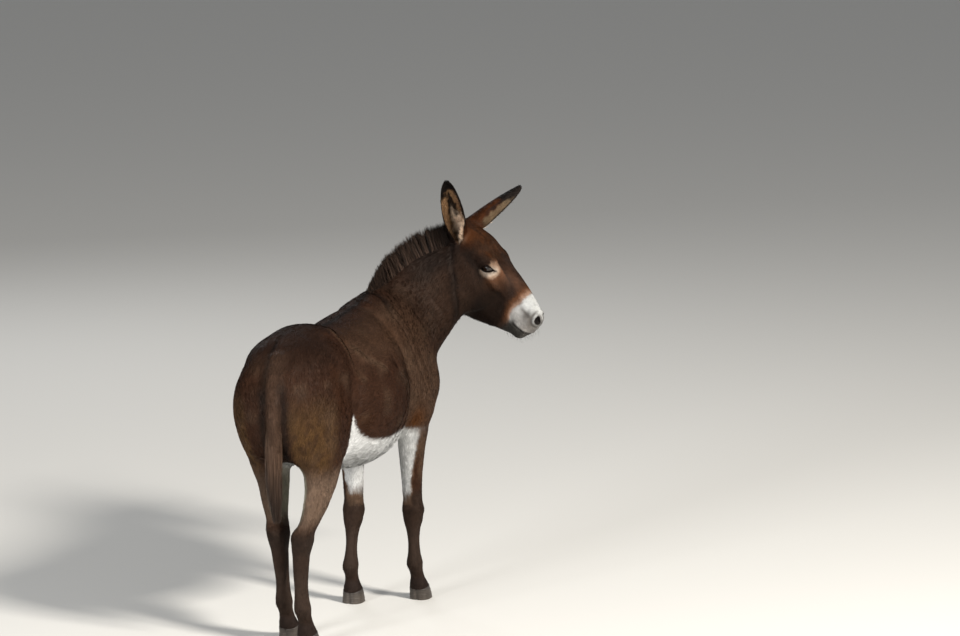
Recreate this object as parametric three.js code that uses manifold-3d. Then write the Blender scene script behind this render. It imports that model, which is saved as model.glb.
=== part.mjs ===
// A life-size standing donkey, head turned to its right: closed solids for each part of the body.
// Millimetres, +Z up. The donkey faces -Y, its left side is +X. The ground is z = 0.
// Each flesh part is cut from one smooth implicit body: lofted sections for the trunk, neck, head
// and legs, and rounded masses for the muscles, all blended together.
import * as THREE from "three";
import { mergeVertices } from "three/addons/utils/BufferGeometryUtils.js";
import Module from "manifold-3d";

const wasm = await Module();
wasm.setup();

// ------------------------------------------------------------------ driving sizes, mm
const GAP = 0.4; // the thin cut between neighbouring parts
const BODY_CELL = 12; // sampling step of the body's surface
const BODY_TRIANGLES = 4600;

const D2R = Math.PI / 180;

// Trunk sections along y: y, level of greatest width, height above it, depth below it, half width,
// exponent of the upper half, exponent of the lower half.
const TRUNK = [
  [560, 905, 105, 140, 92, 2.0, 2.0],
  [500, 915, 166, 190, 127, 1.9, 2.0],
  [420, 910, 212, 225, 152, 1.9, 2.1],
  [330, 900, 250, 230, 160, 1.85, 2.1],
  [240, 880, 271, 228, 178, 1.75, 2.1],
  [140, 860, 279, 240, 219, 1.8, 2.1],
  [20, 845, 300, 246, 249, 1.8, 2.1],
  [-100, 840, 322, 240, 245, 1.8, 2.1],
  [-200, 850, 328, 236, 214, 1.7, 2.1],
  [-290, 865, 328, 235, 184, 1.55, 2.1],
  [-370, 875, 318, 232, 168, 1.5, 2.1],
  [-450, 885, 262, 205, 150, 1.7, 2.0],
  [-520, 890, 190, 160, 128, 1.9, 2.0],
];
const TRUNK_REAR_CAP = 40,
  TRUNK_FRONT_CAP = 62;

// Neck: a curved axis with a section of lateral half width and dorsal and ventral heights.
const NECK_AXIS = [
  [0, -300, 960],
  [-15, -430, 1010],
  [-75, -540, 1085],
  [-165, -610, 1165],
  [-262, -640, 1225],
];
// share of the length, half width, height to the crest, height to the throat, heading in degrees
const NECK = [
  [0.0, 150, 215, 215, 2],
  [0.25, 125, 196, 205, 12],
  [0.5, 98, 188, 175, 36],
  [0.75, 80, 178, 124, 60],
  [1.0, 72, 152, 94, 76],
];

// Head frame: the point between the ears, the heading (degrees from straight ahead towards its right),
// the pitch of the face below the horizon, and the roll.
const HEAD = { at: [-262, -659, 1423], heading: 86, pitch: 55, roll: 5, length: 490 };
// Head sections along the face: u, dorsal line, ventral line, level of greatest width, half width,
// exponent above, exponent below.
const SKULL = [
  [-10, 2, -120, -50, 46, 2.0, 2.0],
  [30, 21, -150, -45, 65, 2.0, 2.0],
  [67, 34, -180, -30, 78, 2.0, 2.0],
  [104, 41, -205, -15, 83, 2.05, 1.9],
  [146, 43, -224, -5, 82, 2.1, 1.75],
  [195, 42, -231, -8, 74, 2.2, 1.75],
  [240, 43, -231, -12, 63, 2.3, 1.8],
  [281, 45, -219, -15, 54, 2.3, 1.8],
  [324, 48, -186, -18, 47, 2.3, 1.9],
  [365, 49, -153, -22, 44, 2.3, 2.0],
  [410, 46, -120, -28, 45, 2.3, 2.2],
  [438, 37, -97, -30, 44, 2.2, 2.2],
];
const MUZZLE_CAP = 30,
  POLL_CAP = 40;
// Rounded masses of the head: centre u, v, w, half sizes, turn about w in degrees, blend, both sides or not.
const HEAD_MASSES = [
  ["cheek", [205, -112, 52], [85, 84, 30], 0, 30, 2],
  ["brow", [149, -3, 61], [38, 24, 21], 0, 20, 2],
  ["cheekbone", [200, -22, 66], [60, 14, 16], -8, 20, 2],
  ["nostril", [422, 18, 29], [24, 21, 17], 0, 18, 2],
  ["upper_lip", [432, -14, 0], [28, 43, 43], 0, 24, 1],
  ["chin", [433, -75, 0], [30, 24, 31], 0, 20, 1],
  ["nasal", [300, 34, 0], [110, 16, 26], 0, 16, 1],
];

// Hind leg sections by height: z, offset from the midline, y, half width, forward, backward, exponent.
const HIND = [
  [1040, 80, 400, 52, 100, 90, 2.0],
  [960, 96, 400, 76, 145, 145, 2.0],
  [880, 104, 392, 84, 165, 162, 2.0],
  [800, 104, 380, 83, 164, 160, 2.0],
  [720, 101, 366, 74, 149, 147, 2.0],
  [650, 109, 367, 54, 121, 113, 2.0],
  [590, 102, 367, 45, 103, 94, 2.0],
  [520, 91, 392, 37, 92, 72, 2.0],
  [465, 77, 412, 32, 67, 58, 2.2],
  [425, 63, 434, 36, 55, 57, 2.4],
  [385, 60, 438, 36, 44, 46, 2.4],
  [345, 57, 440, 32, 36, 37, 2.2],
  [290, 55, 441, 28, 31, 35, 2.1],
  [230, 54, 439, 25, 28, 32, 2.1],
  [185, 55, 437, 27, 29, 34, 2.1],
  [150, 56, 433, 31, 31, 38, 2.1],
  [120, 57, 426, 27, 28, 33, 2.1],
  [90, 58, 416, 28, 30, 31, 2.1],
  [62, 58, 408, 34, 38, 36, 2.2],
  [30, 58, 400, 38, 47, 39, 2.3],
  [-20, 58, 394, 42, 57, 43, 2.4],
];
// Foreleg sections by height, in the same order.
const FORE = [
  [920, 112, -385, 52, 70, 80, 2.0],
  [820, 124, -390, 64, 88, 92, 2.0],
  [740, 126, -384, 68, 86, 92, 2.0],
  [680, 121, -376, 62, 74, 80, 2.0],
  [620, 115, -373, 54, 62, 64, 2.0],
  [540, 108, -373, 45, 51, 51, 2.0],
  [460, 103, -375, 38, 42, 42, 2.1],
  [395, 100, -378, 37, 40, 38, 2.3],
  [355, 99, -380, 40, 41, 40, 2.4],
  [315, 98, -379, 36, 36, 38, 2.3],
  [280, 98, -376, 27, 27, 32, 2.2],
  [230, 98, -375, 22, 24, 29, 2.1],
  [185, 98, -375, 24, 27, 33, 2.1],
  [150, 98, -376, 30, 31, 38, 2.1],
  [120, 98, -383, 26, 28, 32, 2.1],
  [90, 98, -393, 27, 30, 30, 2.1],
  [62, 98, -402, 34, 38, 36, 2.2],
  [30, 98, -410, 38, 47, 39, 2.3],
  [-20, 98, -416, 42, 57, 43, 2.4],
];
// How far each foot stands ahead (-) or behind (+) its square place, the height where that starts,
// and how much further from the midline it stands.
const STEP = {
  hind_right: [-8, 900, 10],
  hind_left: [-98, 900, -10],
  fore_right: [-35, 800, 40],
  fore_left: [130, 800, -28],
};
// Height of the coronet at the toe and at the heel.
const CORONET = [62, 44];

// Rounded masses: name, centre, half sizes, turn about x, y and z in degrees, blend, both sides or not.
const MASSES = [
  ["haunch", [97, 382, 888], [74, 166, 190], [0, 0, 0], 60, 2],
  ["croup", [48, 325, 1030], [78, 188, 118], [-10, 0, 0], 70, 2],
  ["hip", [100, 240, 996], [46, 95, 60], [20, 0, 0], 80, 2],
  ["buttock", [63, 507, 884], [58, 69, 166], [0, 0, 0], 50, 2],
  ["shoulder", [122, -375, 930], [60, 110, 215], [-20, -14, 0], 70, 2],
  ["shoulder_point", [122, -500, 835], [64, 66, 100], [0, 0, 0], 60, 2],
  ["triceps", [146, -300, 790], [50, 95, 95], [30, 0, 0], 50, 2],
  ["breast", [56, -500, 800], [58, 66, 100], [0, 0, 0], 60, 2],
  ["belly", [0, 20, 722], [195, 290, 110], [0, 0, 0], 70, 1],
];

// Ears: base, axis and opening direction in the head frame, the length, and a factor of the width.
const EARS = {
  ear_right: { base: [-2, -45, -50], axis: [-0.744, 0.517, -0.423], opening: [0.18, 0.29, -0.94], length: 247, wide: 1 },
  ear_left: { base: [-4, -8, 50], axis: [-0.076, 0.785, 0.614], opening: [0.78, -0.09, 0.62], length: 243, wide: 0.9 },
};
// Ear by share of its length: half width, half angle of the curled sheet, thickness.
const EAR = [
  [0.0, 30.5, 150, 8.9],
  [0.15, 34.5, 132, 8.6],
  [0.3, 37, 108, 8.2],
  [0.45, 38, 92, 7.8],
  [0.6, 36.5, 82, 7.4],
  [0.75, 31.5, 74, 7.0],
  [0.88, 24, 68, 6.6],
  [0.96, 16.5, 64, 6.4],
  [1.0, 9, 60, 6.4],
];

// Mane: how far it stands up by share of its run from the poll to the withers, and its half thickness.
const MANE = [
  [0.0, 8, 6],
  [0.05, 30, 9],
  [0.1, 66, 12],
  [0.18, 90, 15],
  [0.3, 90, 17],
  [0.55, 80, 17],
  [0.8, 58, 15],
  [0.93, 32, 12],
  [1.0, 8, 8],
];
const MANE_STEPS = 38;
// Where the mane starts between the ears (head frame), the way it stands there, and the share of its run
// that it takes to reach the neck's crest.
const MANE_POLL = { share: 0.14, at: [-2, -4, 0], up: [-0.75, 0.65, 0] };

// Tail: share of its run, place, half width across and half depth.
const TAIL = [
  [0, 0, 490, 1062, 38, 32],
  [0.1, -10, 543, 1022, 33, 30],
  [0.22, -30, 580, 950, 31, 28],
  [0.42, -35, 590, 850, 30, 27],
  [0.62, -26, 576, 730, 28, 24],
  [0.8, -16, 556, 630, 26, 22],
  [0.92, -14, 540, 550, 21, 19],
  [1, -14, 528, 480, 6, 6],
];
const TAIL_TUFT_AT = 700;

// Eye: place along and across the face, radius, and how far its centre lies under the skin.
const EYE = { u: 173, v: -6, radius: 22.5, depth: 16 };

// ------------------------------------------------------------------ small maths
const lerp = (a, b, t) => a + (b - a) * t;
const clamp = (x, a, b) => Math.min(b, Math.max(a, x));
const smin = (a, b, k) => {
  const h = Math.max(k - Math.abs(a - b), 0) / k;
  return Math.min(a, b) - (h * h * k) / 4;
};
const smax = (a, b, k) => -smin(-a, -b, k);

// A smooth curve through a table's rows, sampled finely once and read by straight steps between samples.
const FINE = 160;
function tableOf(rows) {
  const s = [...rows].sort((p, q) => p[0] - q[0]),
    lo = s[0][0],
    hi = s[s.length - 1][0],
    width = s[0].length,
    out = [];
  const slope = (i, c) => {
    const a = s[Math.max(0, i - 1)],
      b = s[Math.min(s.length - 1, i + 1)];
    return (b[c] - a[c]) / (b[0] - a[0]);
  };
  for (let k = 0; k <= FINE; k++) {
    const t = lerp(lo, hi, k / FINE);
    let i = 0;
    while (i < s.length - 2 && t > s[i + 1][0]) i++;
    const h = s[i + 1][0] - s[i][0],
      x = (t - s[i][0]) / h,
      row = [t];
    for (let c = 1; c < width; c++) {
      const a = s[i][c],
        b = s[i + 1][c],
        ma = slope(i, c) * h,
        mb = slope(i + 1, c) * h;
      row.push(
        (2 * x ** 3 - 3 * x * x + 1) * a +
          (x ** 3 - 2 * x * x + x) * ma +
          (-2 * x ** 3 + 3 * x * x) * b +
          (x ** 3 - x * x) * mb,
      );
    }
    out.push(row);
  }
  return { lo, hi, rows: out };
}
function readTable(table, t) {
  const f = clamp((t - table.lo) / (table.hi - table.lo), 0, 1) * FINE,
    i = Math.min(FINE - 1, Math.floor(f)),
    x = f - i,
    a = table.rows[i],
    b = table.rows[i + 1],
    out = new Array(a.length);
  for (let c = 0; c < a.length; c++) out[c] = a[c] + (b[c] - a[c]) * x;
  return out;
}

// Distance-like value of a section: q is the offset from the centre, r the half sizes, n the exponent,
// and over is how far past the end it lies, where it closes within the cap's length.
function section(qa, qb, ra, rb, n, over, cap) {
  const rs = Math.pow(
    Math.pow(Math.abs(qa) / ra, n) + Math.pow(Math.abs(qb) / rb, n),
    1 / n,
  );
  const rho = Math.sqrt(rs * rs + (over / cap) ** 2);
  if (rho < 0.08) return -Math.min(ra, rb) * (1 - rho);
  const len = Math.sqrt(qa * qa + qb * qb + over * over);
  return len * (1 - 1 / rho);
}

// ------------------------------------------------------------------ the body's field
const trunkTable = tableOf(TRUNK);
function trunkField(x, y, z) {
  const t = clamp(y, trunkTable.lo, trunkTable.hi),
    [, c, up, down, w, nu, nd] = readTable(trunkTable, t);
  const dz = z - c,
    cap = y > t ? TRUNK_REAR_CAP : TRUNK_FRONT_CAP;
  const blend = clamp(0.5 + dz / 120, 0, 1);
  return section(x, dz, w, dz > 0 ? up : down, lerp(nd, nu, blend), y - t, cap);
}

const LEG_TABLES = {};
function legTable(name) {
  if (!LEG_TABLES[name]) {
    const rows = (name.startsWith("hind") ? HIND : FORE).map((r) => [...r]);
    const [step, from, out] = STEP[name],
      side = name.endsWith("left") ? 1 : -1;
    for (const r of rows) {
      const share = clamp(1 - r[0] / from, 0, 1);
      r[1] = (r[1] + out * Math.sqrt(share)) * side;
      r[2] += step * share;
    }
    LEG_TABLES[name] = tableOf(rows);
  }
  return LEG_TABLES[name];
}
function legField(name, x, y, z) {
  const table = legTable(name),
    t = clamp(z, table.lo, table.hi),
    [, cx, cy, a, f, b, n] = readTable(table, t);
  const dy = y - cy,
    cap = z > t ? 60 : 12;
  return section(x - cx, dy, a, dy < 0 ? f : b, n, z - t, cap);
}

const neckCurve = new THREE.CatmullRomCurve3(
  NECK_AXIS.map((p) => new THREE.Vector3(...p)),
  false,
  "centripetal",
);
const NECK_STEPS = 24;
const neckTable = tableOf(NECK);
const headingVector = (deg) => new THREE.Vector3(-Math.sin(deg * D2R), -Math.cos(deg * D2R), 0);
const leftVector = (deg) => new THREE.Vector3(Math.cos(deg * D2R), -Math.sin(deg * D2R), 0);
const neckSamples = [];
for (let i = 0; i <= NECK_STEPS; i++) {
  const s = i / NECK_STEPS,
    c = neckCurve.getPointAt(s),
    t = neckCurve.getTangentAt(s),
    heading = readTable(neckTable, s)[4];
  const left = leftVector(heading);
  left.addScaledVector(t, -left.dot(t)).normalize();
  const up = new THREE.Vector3().crossVectors(left, t).normalize();
  if (up.z < 0) up.negate();
  neckSamples.push([c.x, c.y, c.z, left.x, left.y, left.z, up.x, up.y, up.z]);
}
function neckField(x, y, z) {
  let best = 1e18,
    bs = 0,
    bi = 0,
    over = 0;
  for (let i = 0; i < NECK_STEPS; i++) {
    const a = neckSamples[i],
      b = neckSamples[i + 1];
    const ex = b[0] - a[0],
      ey = b[1] - a[1],
      ez = b[2] - a[2];
    const raw =
      ((x - a[0]) * ex + (y - a[1]) * ey + (z - a[2]) * ez) / (ex * ex + ey * ey + ez * ez);
    const s = clamp(raw, 0, 1),
      dx = x - a[0] - ex * s,
      dy = y - a[1] - ey * s,
      dz = z - a[2] - ez * s,
      d = dx * dx + dy * dy + dz * dz;
    if (d < best) {
      best = d;
      bs = s;
      bi = i;
      over = 0;
      if (i === 0 && raw < 0) over = raw * Math.sqrt(ex * ex + ey * ey + ez * ez);
      if (i === NECK_STEPS - 1 && raw > 1) over = (raw - 1) * Math.sqrt(ex * ex + ey * ey + ez * ez);
    }
  }
  const a = neckSamples[bi],
    b = neckSamples[bi + 1],
    m = a.map((v, k) => lerp(v, b[k], bs));
  const qx = x - m[0],
    qy = y - m[1],
    qz = z - m[2];
  const [, w, up, down] = readTable(neckTable, (bi + bs) / NECK_STEPS);
  const lat = qx * m[3] + qy * m[4] + qz * m[5],
    dor = qx * m[6] + qy * m[7] + qz * m[8];
  // The crest is narrow and the underside is broad.
  const n = dor > 0 ? 1.75 : 2.1;
  return section(lat, dor, w, dor > 0 ? up : down, n, over, 60);
}

// Head frame vectors: u towards the muzzle, v out of the forehead, w to its left.
const headU = headingVector(HEAD.heading)
  .multiplyScalar(Math.cos(HEAD.pitch * D2R))
  .add(new THREE.Vector3(0, 0, -Math.sin(HEAD.pitch * D2R)));
let headW = leftVector(HEAD.heading);
let headV = new THREE.Vector3().crossVectors(headW, headU).normalize();
if (headV.z < 0) headV.negate();
headW.applyAxisAngle(headU, HEAD.roll * D2R);
headV.applyAxisAngle(headU, HEAD.roll * D2R);
const headAt = new THREE.Vector3(...HEAD.at);
function toHead(x, y, z) {
  const q = new THREE.Vector3(x, y, z).sub(headAt);
  return [q.dot(headU), q.dot(headV), q.dot(headW)];
}
function fromHead(u, v, w) {
  return headAt.clone().addScaledVector(headU, u).addScaledVector(headV, v).addScaledVector(headW, w);
}

const skullTable = tableOf(SKULL);
function headField(u, v, w) {
  const t = clamp(u, skullTable.lo, skullTable.hi),
    [, top, bottom, c, half, nu, nd] = readTable(skullTable, t);
  const dv = v - c,
    cap = u > t ? MUZZLE_CAP : POLL_CAP;
  let d = section(w, dv, half, dv > 0 ? top - c : c - bottom, dv > 0 ? nu : nd, u - t, cap);
  for (const m of headMasses) d = smin(d, ellipsoidField(u, v, w, m), m.blend);
  return d;
}

function ellipsoidField(x, y, z, m) {
  const q = [x - m.c[0], y - m.c[1], z - m.c[2]];
  const lx = q[0] * m.frame[0] + q[1] * m.frame[1] + q[2] * m.frame[2],
    ly = q[0] * m.frame[3] + q[1] * m.frame[4] + q[2] * m.frame[5],
    lz = q[0] * m.frame[6] + q[1] * m.frame[7] + q[2] * m.frame[8];
  const k0 = Math.sqrt((lx / m.r[0]) ** 2 + (ly / m.r[1]) ** 2 + (lz / m.r[2]) ** 2);
  if (k0 < 1e-3) return -Math.min(...m.r);
  const k1 = Math.sqrt(
    (lx / m.r[0] ** 2) ** 2 + (ly / m.r[1] ** 2) ** 2 + (lz / m.r[2] ** 2) ** 2,
  );
  return (k0 * (k0 - 1)) / k1;
}
const masses = [];
for (const [, c, r, turn, blend, sides] of MASSES)
  for (const side of sides === 2 ? [1, -1] : [1]) {
    const e = new THREE.Euler(turn[0] * D2R, turn[1] * side * D2R, turn[2] * side * D2R, "XYZ");
    const m = new THREE.Matrix4().makeRotationFromEuler(e).elements;
    masses.push({
      c: [c[0] * side, c[1], c[2]],
      r,
      blend,
      frame: [m[0], m[1], m[2], m[4], m[5], m[6], m[8], m[9], m[10]],
    });
  }

const headMasses = [];
for (const [, c, r, turn, blend, sides] of HEAD_MASSES)
  for (const side of sides === 2 ? [1, -1] : [1]) {
    const k = Math.cos(turn * D2R),
      n = Math.sin(turn * D2R);
    headMasses.push({ c: [c[0], c[1], c[2] * side], r, blend, frame: [k, n, 0, -n, k, 0, 0, 0, 1] });
  }

const LEGS = ["hind_right", "hind_left", "fore_right", "fore_left"];
function bodyField(x, y, z) {
  let d = trunkField(x, y, z);
  for (const m of masses) {
    const reach = Math.max(...m.r) + 150;
    if (
      Math.abs(x - m.c[0]) < reach &&
      Math.abs(y - m.c[1]) < reach &&
      Math.abs(z - m.c[2]) < reach
    )
      d = smin(d, ellipsoidField(x, y, z, m), m.blend);
  }
  for (const name of LEGS) {
    const fore = name.startsWith("fore");
    if (fore ? y < -120 : y > 60) d = smin(d, legField(name, x, y, z), fore ? 45 : 55);
  }
  if (y < -150 && z > 500) d = smin(d, neckField(x, y, z), 80);
  if (z > 800 && y < -400) {
    const [u, v, w] = toHead(x, y, z);
    d = smin(d, headField(u, v, w), 32);
  }
  return d;
}

// ------------------------------------------------------------------ surface of a field
// Marching tetrahedra over a box, skipping the blocks that the surface doesn't reach.
function polygonize(field, lo, hi, cell) {
  const n = [0, 1, 2].map((k) => Math.ceil((hi[k] - lo[k]) / cell) + 1);
  const B = 6,
    values = new Map(),
    verts = [],
    edgeVert = new Map(),
    tris = [];
  const N0 = n[0] + 2,
    N1 = n[1] + 2;
  const id = (i, j, k) => i + N0 * (j + N1 * k);
  const value = (i, j, k) => {
    const key = id(i, j, k);
    let v = values.get(key);
    if (v === undefined) {
      v = field(lo[0] + i * cell, lo[1] + j * cell, lo[2] + k * cell);
      if (Math.abs(v) < 1e-4 * cell) v = 1e-4 * cell;
      values.set(key, v);
    }
    return v;
  };
  const vertexOn = (p, q) => {
    const a = id(...p),
      b = id(...q),
      key = a < b ? a * 67108864 + b : b * 67108864 + a;
    let v = edgeVert.get(key);
    if (v === undefined) {
      const fa = value(...p),
        fb = value(...q),
        t = clamp(fa / (fa - fb), 0.02, 0.98);
      v = verts.length / 3;
      for (let c = 0; c < 3; c++) verts.push(lo[c] + cell * lerp(p[c], q[c], t));
      edgeVert.set(key, v);
    }
    return v;
  };
  const CORNERS = [
    [0, 0, 0],
    [1, 0, 0],
    [1, 1, 0],
    [0, 1, 0],
    [0, 0, 1],
    [1, 0, 1],
    [1, 1, 1],
    [0, 1, 1],
  ];
  const TETS = [
    [0, 5, 1, 6],
    [0, 1, 2, 6],
    [0, 2, 3, 6],
    [0, 3, 7, 6],
    [0, 7, 4, 6],
    [0, 4, 5, 6],
  ];
  const tet = (ps) => {
    const inside = ps.map((p) => value(...p) < 0),
      count = inside.filter(Boolean).length;
    if (count === 0 || count === 4) return;
    const ins = ps.filter((_, i) => inside[i]),
      outs = ps.filter((_, i) => !inside[i]);
    const emit = (a, b, c) => {
      // Face away from the inside corners.
      const A = a * 3,
        Bv = b * 3,
        C = c * 3;
      const ux = verts[Bv] - verts[A],
        uy = verts[Bv + 1] - verts[A + 1],
        uz = verts[Bv + 2] - verts[A + 2];
      const vx = verts[C] - verts[A],
        vy = verts[C + 1] - verts[A + 1],
        vz = verts[C + 2] - verts[A + 2];
      const nx = uy * vz - uz * vy,
        ny = uz * vx - ux * vz,
        nz = ux * vy - uy * vx;
      let s = 0;
      for (const p of ins)
        s +=
          nx * (lo[0] + p[0] * cell - verts[A]) +
          ny * (lo[1] + p[1] * cell - verts[A + 1]) +
          nz * (lo[2] + p[2] * cell - verts[A + 2]);
      for (const p of outs)
        s -=
          nx * (lo[0] + p[0] * cell - verts[A]) +
          ny * (lo[1] + p[1] * cell - verts[A + 1]) +
          nz * (lo[2] + p[2] * cell - verts[A + 2]);
      if (s > 0) tris.push(a, c, b);
      else tris.push(a, b, c);
    };
    if (count === 1) emit(...outs.map((o) => vertexOn(ins[0], o)));
    else if (count === 3) emit(...ins.map((o) => vertexOn(outs[0], o)));
    else {
      const a = vertexOn(ins[0], outs[0]),
        b = vertexOn(ins[0], outs[1]),
        c = vertexOn(ins[1], outs[1]),
        d = vertexOn(ins[1], outs[0]);
      emit(a, b, c);
      emit(a, c, d);
    }
  };
  for (let bk = 0; bk < n[2]; bk += B)
    for (let bj = 0; bj < n[1]; bj += B)
      for (let bi = 0; bi < n[0]; bi += B) {
        const mid = field(
          lo[0] + (bi + B / 2) * cell,
          lo[1] + (bj + B / 2) * cell,
          lo[2] + (bk + B / 2) * cell,
        );
        if (Math.abs(mid) > B * cell * 2.2) continue;
        for (let k = bk; k < Math.min(bk + B, n[2]); k++)
          for (let j = bj; j < Math.min(bj + B, n[1]); j++)
            for (let i = bi; i < Math.min(bi + B, n[0]); i++) {
              const vs = CORNERS.map(([a, b, c]) => value(i + a, j + b, k + c) < 0);
              if (vs.every(Boolean) || !vs.some(Boolean)) continue;
              for (const t of TETS)
                tet(t.map((q) => [i + CORNERS[q][0], j + CORNERS[q][1], k + CORNERS[q][2]]));
            }
      }
  return { verts, tris };
}

// Collapses edges in the order of least change of shape until the wanted count is left.
function simplify({ verts, tris }, wanted, weightAt = () => 1) {
  const nv = verts.length / 3,
    nt = tris.length / 3;
  const P = Float64Array.from(verts),
    T = Int32Array.from(tris),
    Q = new Float64Array(nv * 10),
    alive = new Uint8Array(nt).fill(1),
    stamp = new Int32Array(nv);
  const around = Array.from({ length: nv }, () => new Set());
  const normal = (a, b, c) => {
    const ux = P[b * 3] - P[a * 3],
      uy = P[b * 3 + 1] - P[a * 3 + 1],
      uz = P[b * 3 + 2] - P[a * 3 + 2],
      vx = P[c * 3] - P[a * 3],
      vy = P[c * 3 + 1] - P[a * 3 + 1],
      vz = P[c * 3 + 2] - P[a * 3 + 2];
    const n = [uy * vz - uz * vy, uz * vx - ux * vz, ux * vy - uy * vx],
      l = Math.hypot(...n) || 1e-12;
    return [n[0] / l, n[1] / l, n[2] / l, l / 2];
  };
  for (let t = 0; t < nt; t++) {
    const [a, b, c] = [T[t * 3], T[t * 3 + 1], T[t * 3 + 2]],
      [x, y, z, area] = normal(a, b, c),
      d = -(x * P[a * 3] + y * P[a * 3 + 1] + z * P[a * 3 + 2]),
      w = area * weightAt(P[a * 3], P[a * 3 + 1], P[a * 3 + 2]),
      q = [x * x, x * y, x * z, x * d, y * y, y * z, y * d, z * z, z * d, d * d];
    for (const v of [a, b, c]) {
      around[v].add(t);
      for (let k = 0; k < 10; k++) Q[v * 10 + k] += q[k] * w;
    }
  }
  const cost = (q, x, y, z) =>
    q[0] * x * x +
    2 * q[1] * x * y +
    2 * q[2] * x * z +
    2 * q[3] * x +
    q[4] * y * y +
    2 * q[5] * y * z +
    2 * q[6] * y +
    q[7] * z * z +
    2 * q[8] * z +
    q[9];
  const best = (a, b) => {
    const q = [];
    for (let k = 0; k < 10; k++) q.push(Q[a * 10 + k] + Q[b * 10 + k]);
    const det =
      q[0] * (q[4] * q[7] - q[5] * q[5]) -
      q[1] * (q[1] * q[7] - q[5] * q[2]) +
      q[2] * (q[1] * q[5] - q[4] * q[2]);
    const scale = q[0] + q[4] + q[7];
    const mid = [0, 1, 2].map((k) => (P[a * 3 + k] + P[b * 3 + k]) / 2);
    const len = Math.hypot(...[0, 1, 2].map((k) => P[a * 3 + k] - P[b * 3 + k]));
    let at = mid;
    if (Math.abs(det) > 1e-7 * scale ** 3) {
      const [r0, r1, r2] = [-q[3], -q[6], -q[8]];
      const x =
          (r0 * (q[4] * q[7] - q[5] * q[5]) -
            q[1] * (r1 * q[7] - q[5] * r2) +
            q[2] * (r1 * q[5] - q[4] * r2)) /
          det,
        y =
          (q[0] * (r1 * q[7] - r2 * q[5]) -
            r0 * (q[1] * q[7] - q[5] * q[2]) +
            q[2] * (q[1] * r2 - r1 * q[2])) /
          det,
        z =
          (q[0] * (q[4] * r2 - q[5] * r1) -
            q[1] * (q[1] * r2 - r1 * q[2]) +
            r0 * (q[1] * q[5] - q[4] * q[2])) /
          det;
      if (Math.hypot(x - mid[0], y - mid[1], z - mid[2]) < 1.2 * len) at = [x, y, z];
    }
    // A little of the edge's own length keeps the triangles even where the surface is flat.
    return [Math.max(0, cost(q, ...at)) + 1e-4 * len * len * weightAt(...mid), at];
  };
  // A binary heap of [cost, a, b, stamp of a, stamp of b, place].
  const heap = [];
  const push = (e) => {
    heap.push(e);
    let i = heap.length - 1;
    while (i > 0) {
      const p = (i - 1) >> 1;
      if (heap[p][0] <= heap[i][0]) break;
      [heap[p], heap[i]] = [heap[i], heap[p]];
      i = p;
    }
  };
  const pop = () => {
    const top = heap[0],
      last = heap.pop();
    if (heap.length) {
      heap[0] = last;
      let i = 0;
      for (;;) {
        let c = 2 * i + 1;
        if (c >= heap.length) break;
        if (c + 1 < heap.length && heap[c + 1][0] < heap[c][0]) c++;
        if (heap[i][0] <= heap[c][0]) break;
        [heap[c], heap[i]] = [heap[i], heap[c]];
        i = c;
      }
    }
    return top;
  };
  const neighbours = (v) => {
    const s = new Set();
    for (const t of around[v]) for (let k = 0; k < 3; k++) s.add(T[t * 3 + k]);
    s.delete(v);
    return s;
  };
  const queue = (a, b) => {
    const [c, at] = best(a, b);
    push([c, a, b, stamp[a], stamp[b], at]);
  };
  for (let t = 0; t < nt; t++)
    for (let k = 0; k < 3; k++) {
      const a = T[t * 3 + k],
        b = T[t * 3 + ((k + 1) % 3)];
      if (a < b) queue(a, b);
    }
  let left = nt;
  while (left > wanted && heap.length) {
    const [, a, b, sa, sb, at] = pop();
    if (stamp[a] !== sa || stamp[b] !== sb || sa < 0 || sb < 0) continue;
    const na = neighbours(a),
      nb = neighbours(b);
    let common = 0;
    for (const v of na) if (nb.has(v)) common++;
    if (common !== 2) continue;
    // No triangle may turn over.
    let bad = false;
    for (const v of [a, b])
      for (const t of around[v]) {
        const ids = [T[t * 3], T[t * 3 + 1], T[t * 3 + 2]];
        if (ids.includes(a) && ids.includes(b)) continue;
        const before = normal(...ids),
          keep = [P[v * 3], P[v * 3 + 1], P[v * 3 + 2]];
        P.set(at, v * 3);
        const after = normal(...ids);
        P.set(keep, v * 3);
        if (
          before[0] * after[0] + before[1] * after[1] + before[2] * after[2] < 0.25 ||
          after[3] < 1e-3
        )
          bad = true;
      }
    if (bad) continue;
    P.set(at, a * 3);
    for (let k = 0; k < 10; k++) Q[a * 10 + k] += Q[b * 10 + k];
    for (const t of [...around[b]]) {
      const o = t * 3,
        hasA = T[o] === a || T[o + 1] === a || T[o + 2] === a;
      if (hasA) {
        alive[t] = 0;
        left--;
        for (let k = 0; k < 3; k++) around[T[o + k]].delete(t);
      } else {
        for (let k = 0; k < 3; k++) if (T[o + k] === b) T[o + k] = a;
        around[a].add(t);
      }
    }
    around[b].clear();
    stamp[b] = -1;
    stamp[a]++;
    for (const v of neighbours(a)) queue(Math.min(a, v), Math.max(a, v));
  }
  const place = new Map(),
    outV = [],
    outT = [];
  for (let t = 0; t < nt; t++)
    if (alive[t])
      for (let k = 0; k < 3; k++) {
        const v = T[t * 3 + k];
        if (!place.has(v)) {
          place.set(v, outV.length / 3);
          outV.push(P[v * 3], P[v * 3 + 1], P[v * 3 + 2]);
        }
        outT.push(place.get(v));
      }
  return { verts: outV, tris: outT };
}

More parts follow.
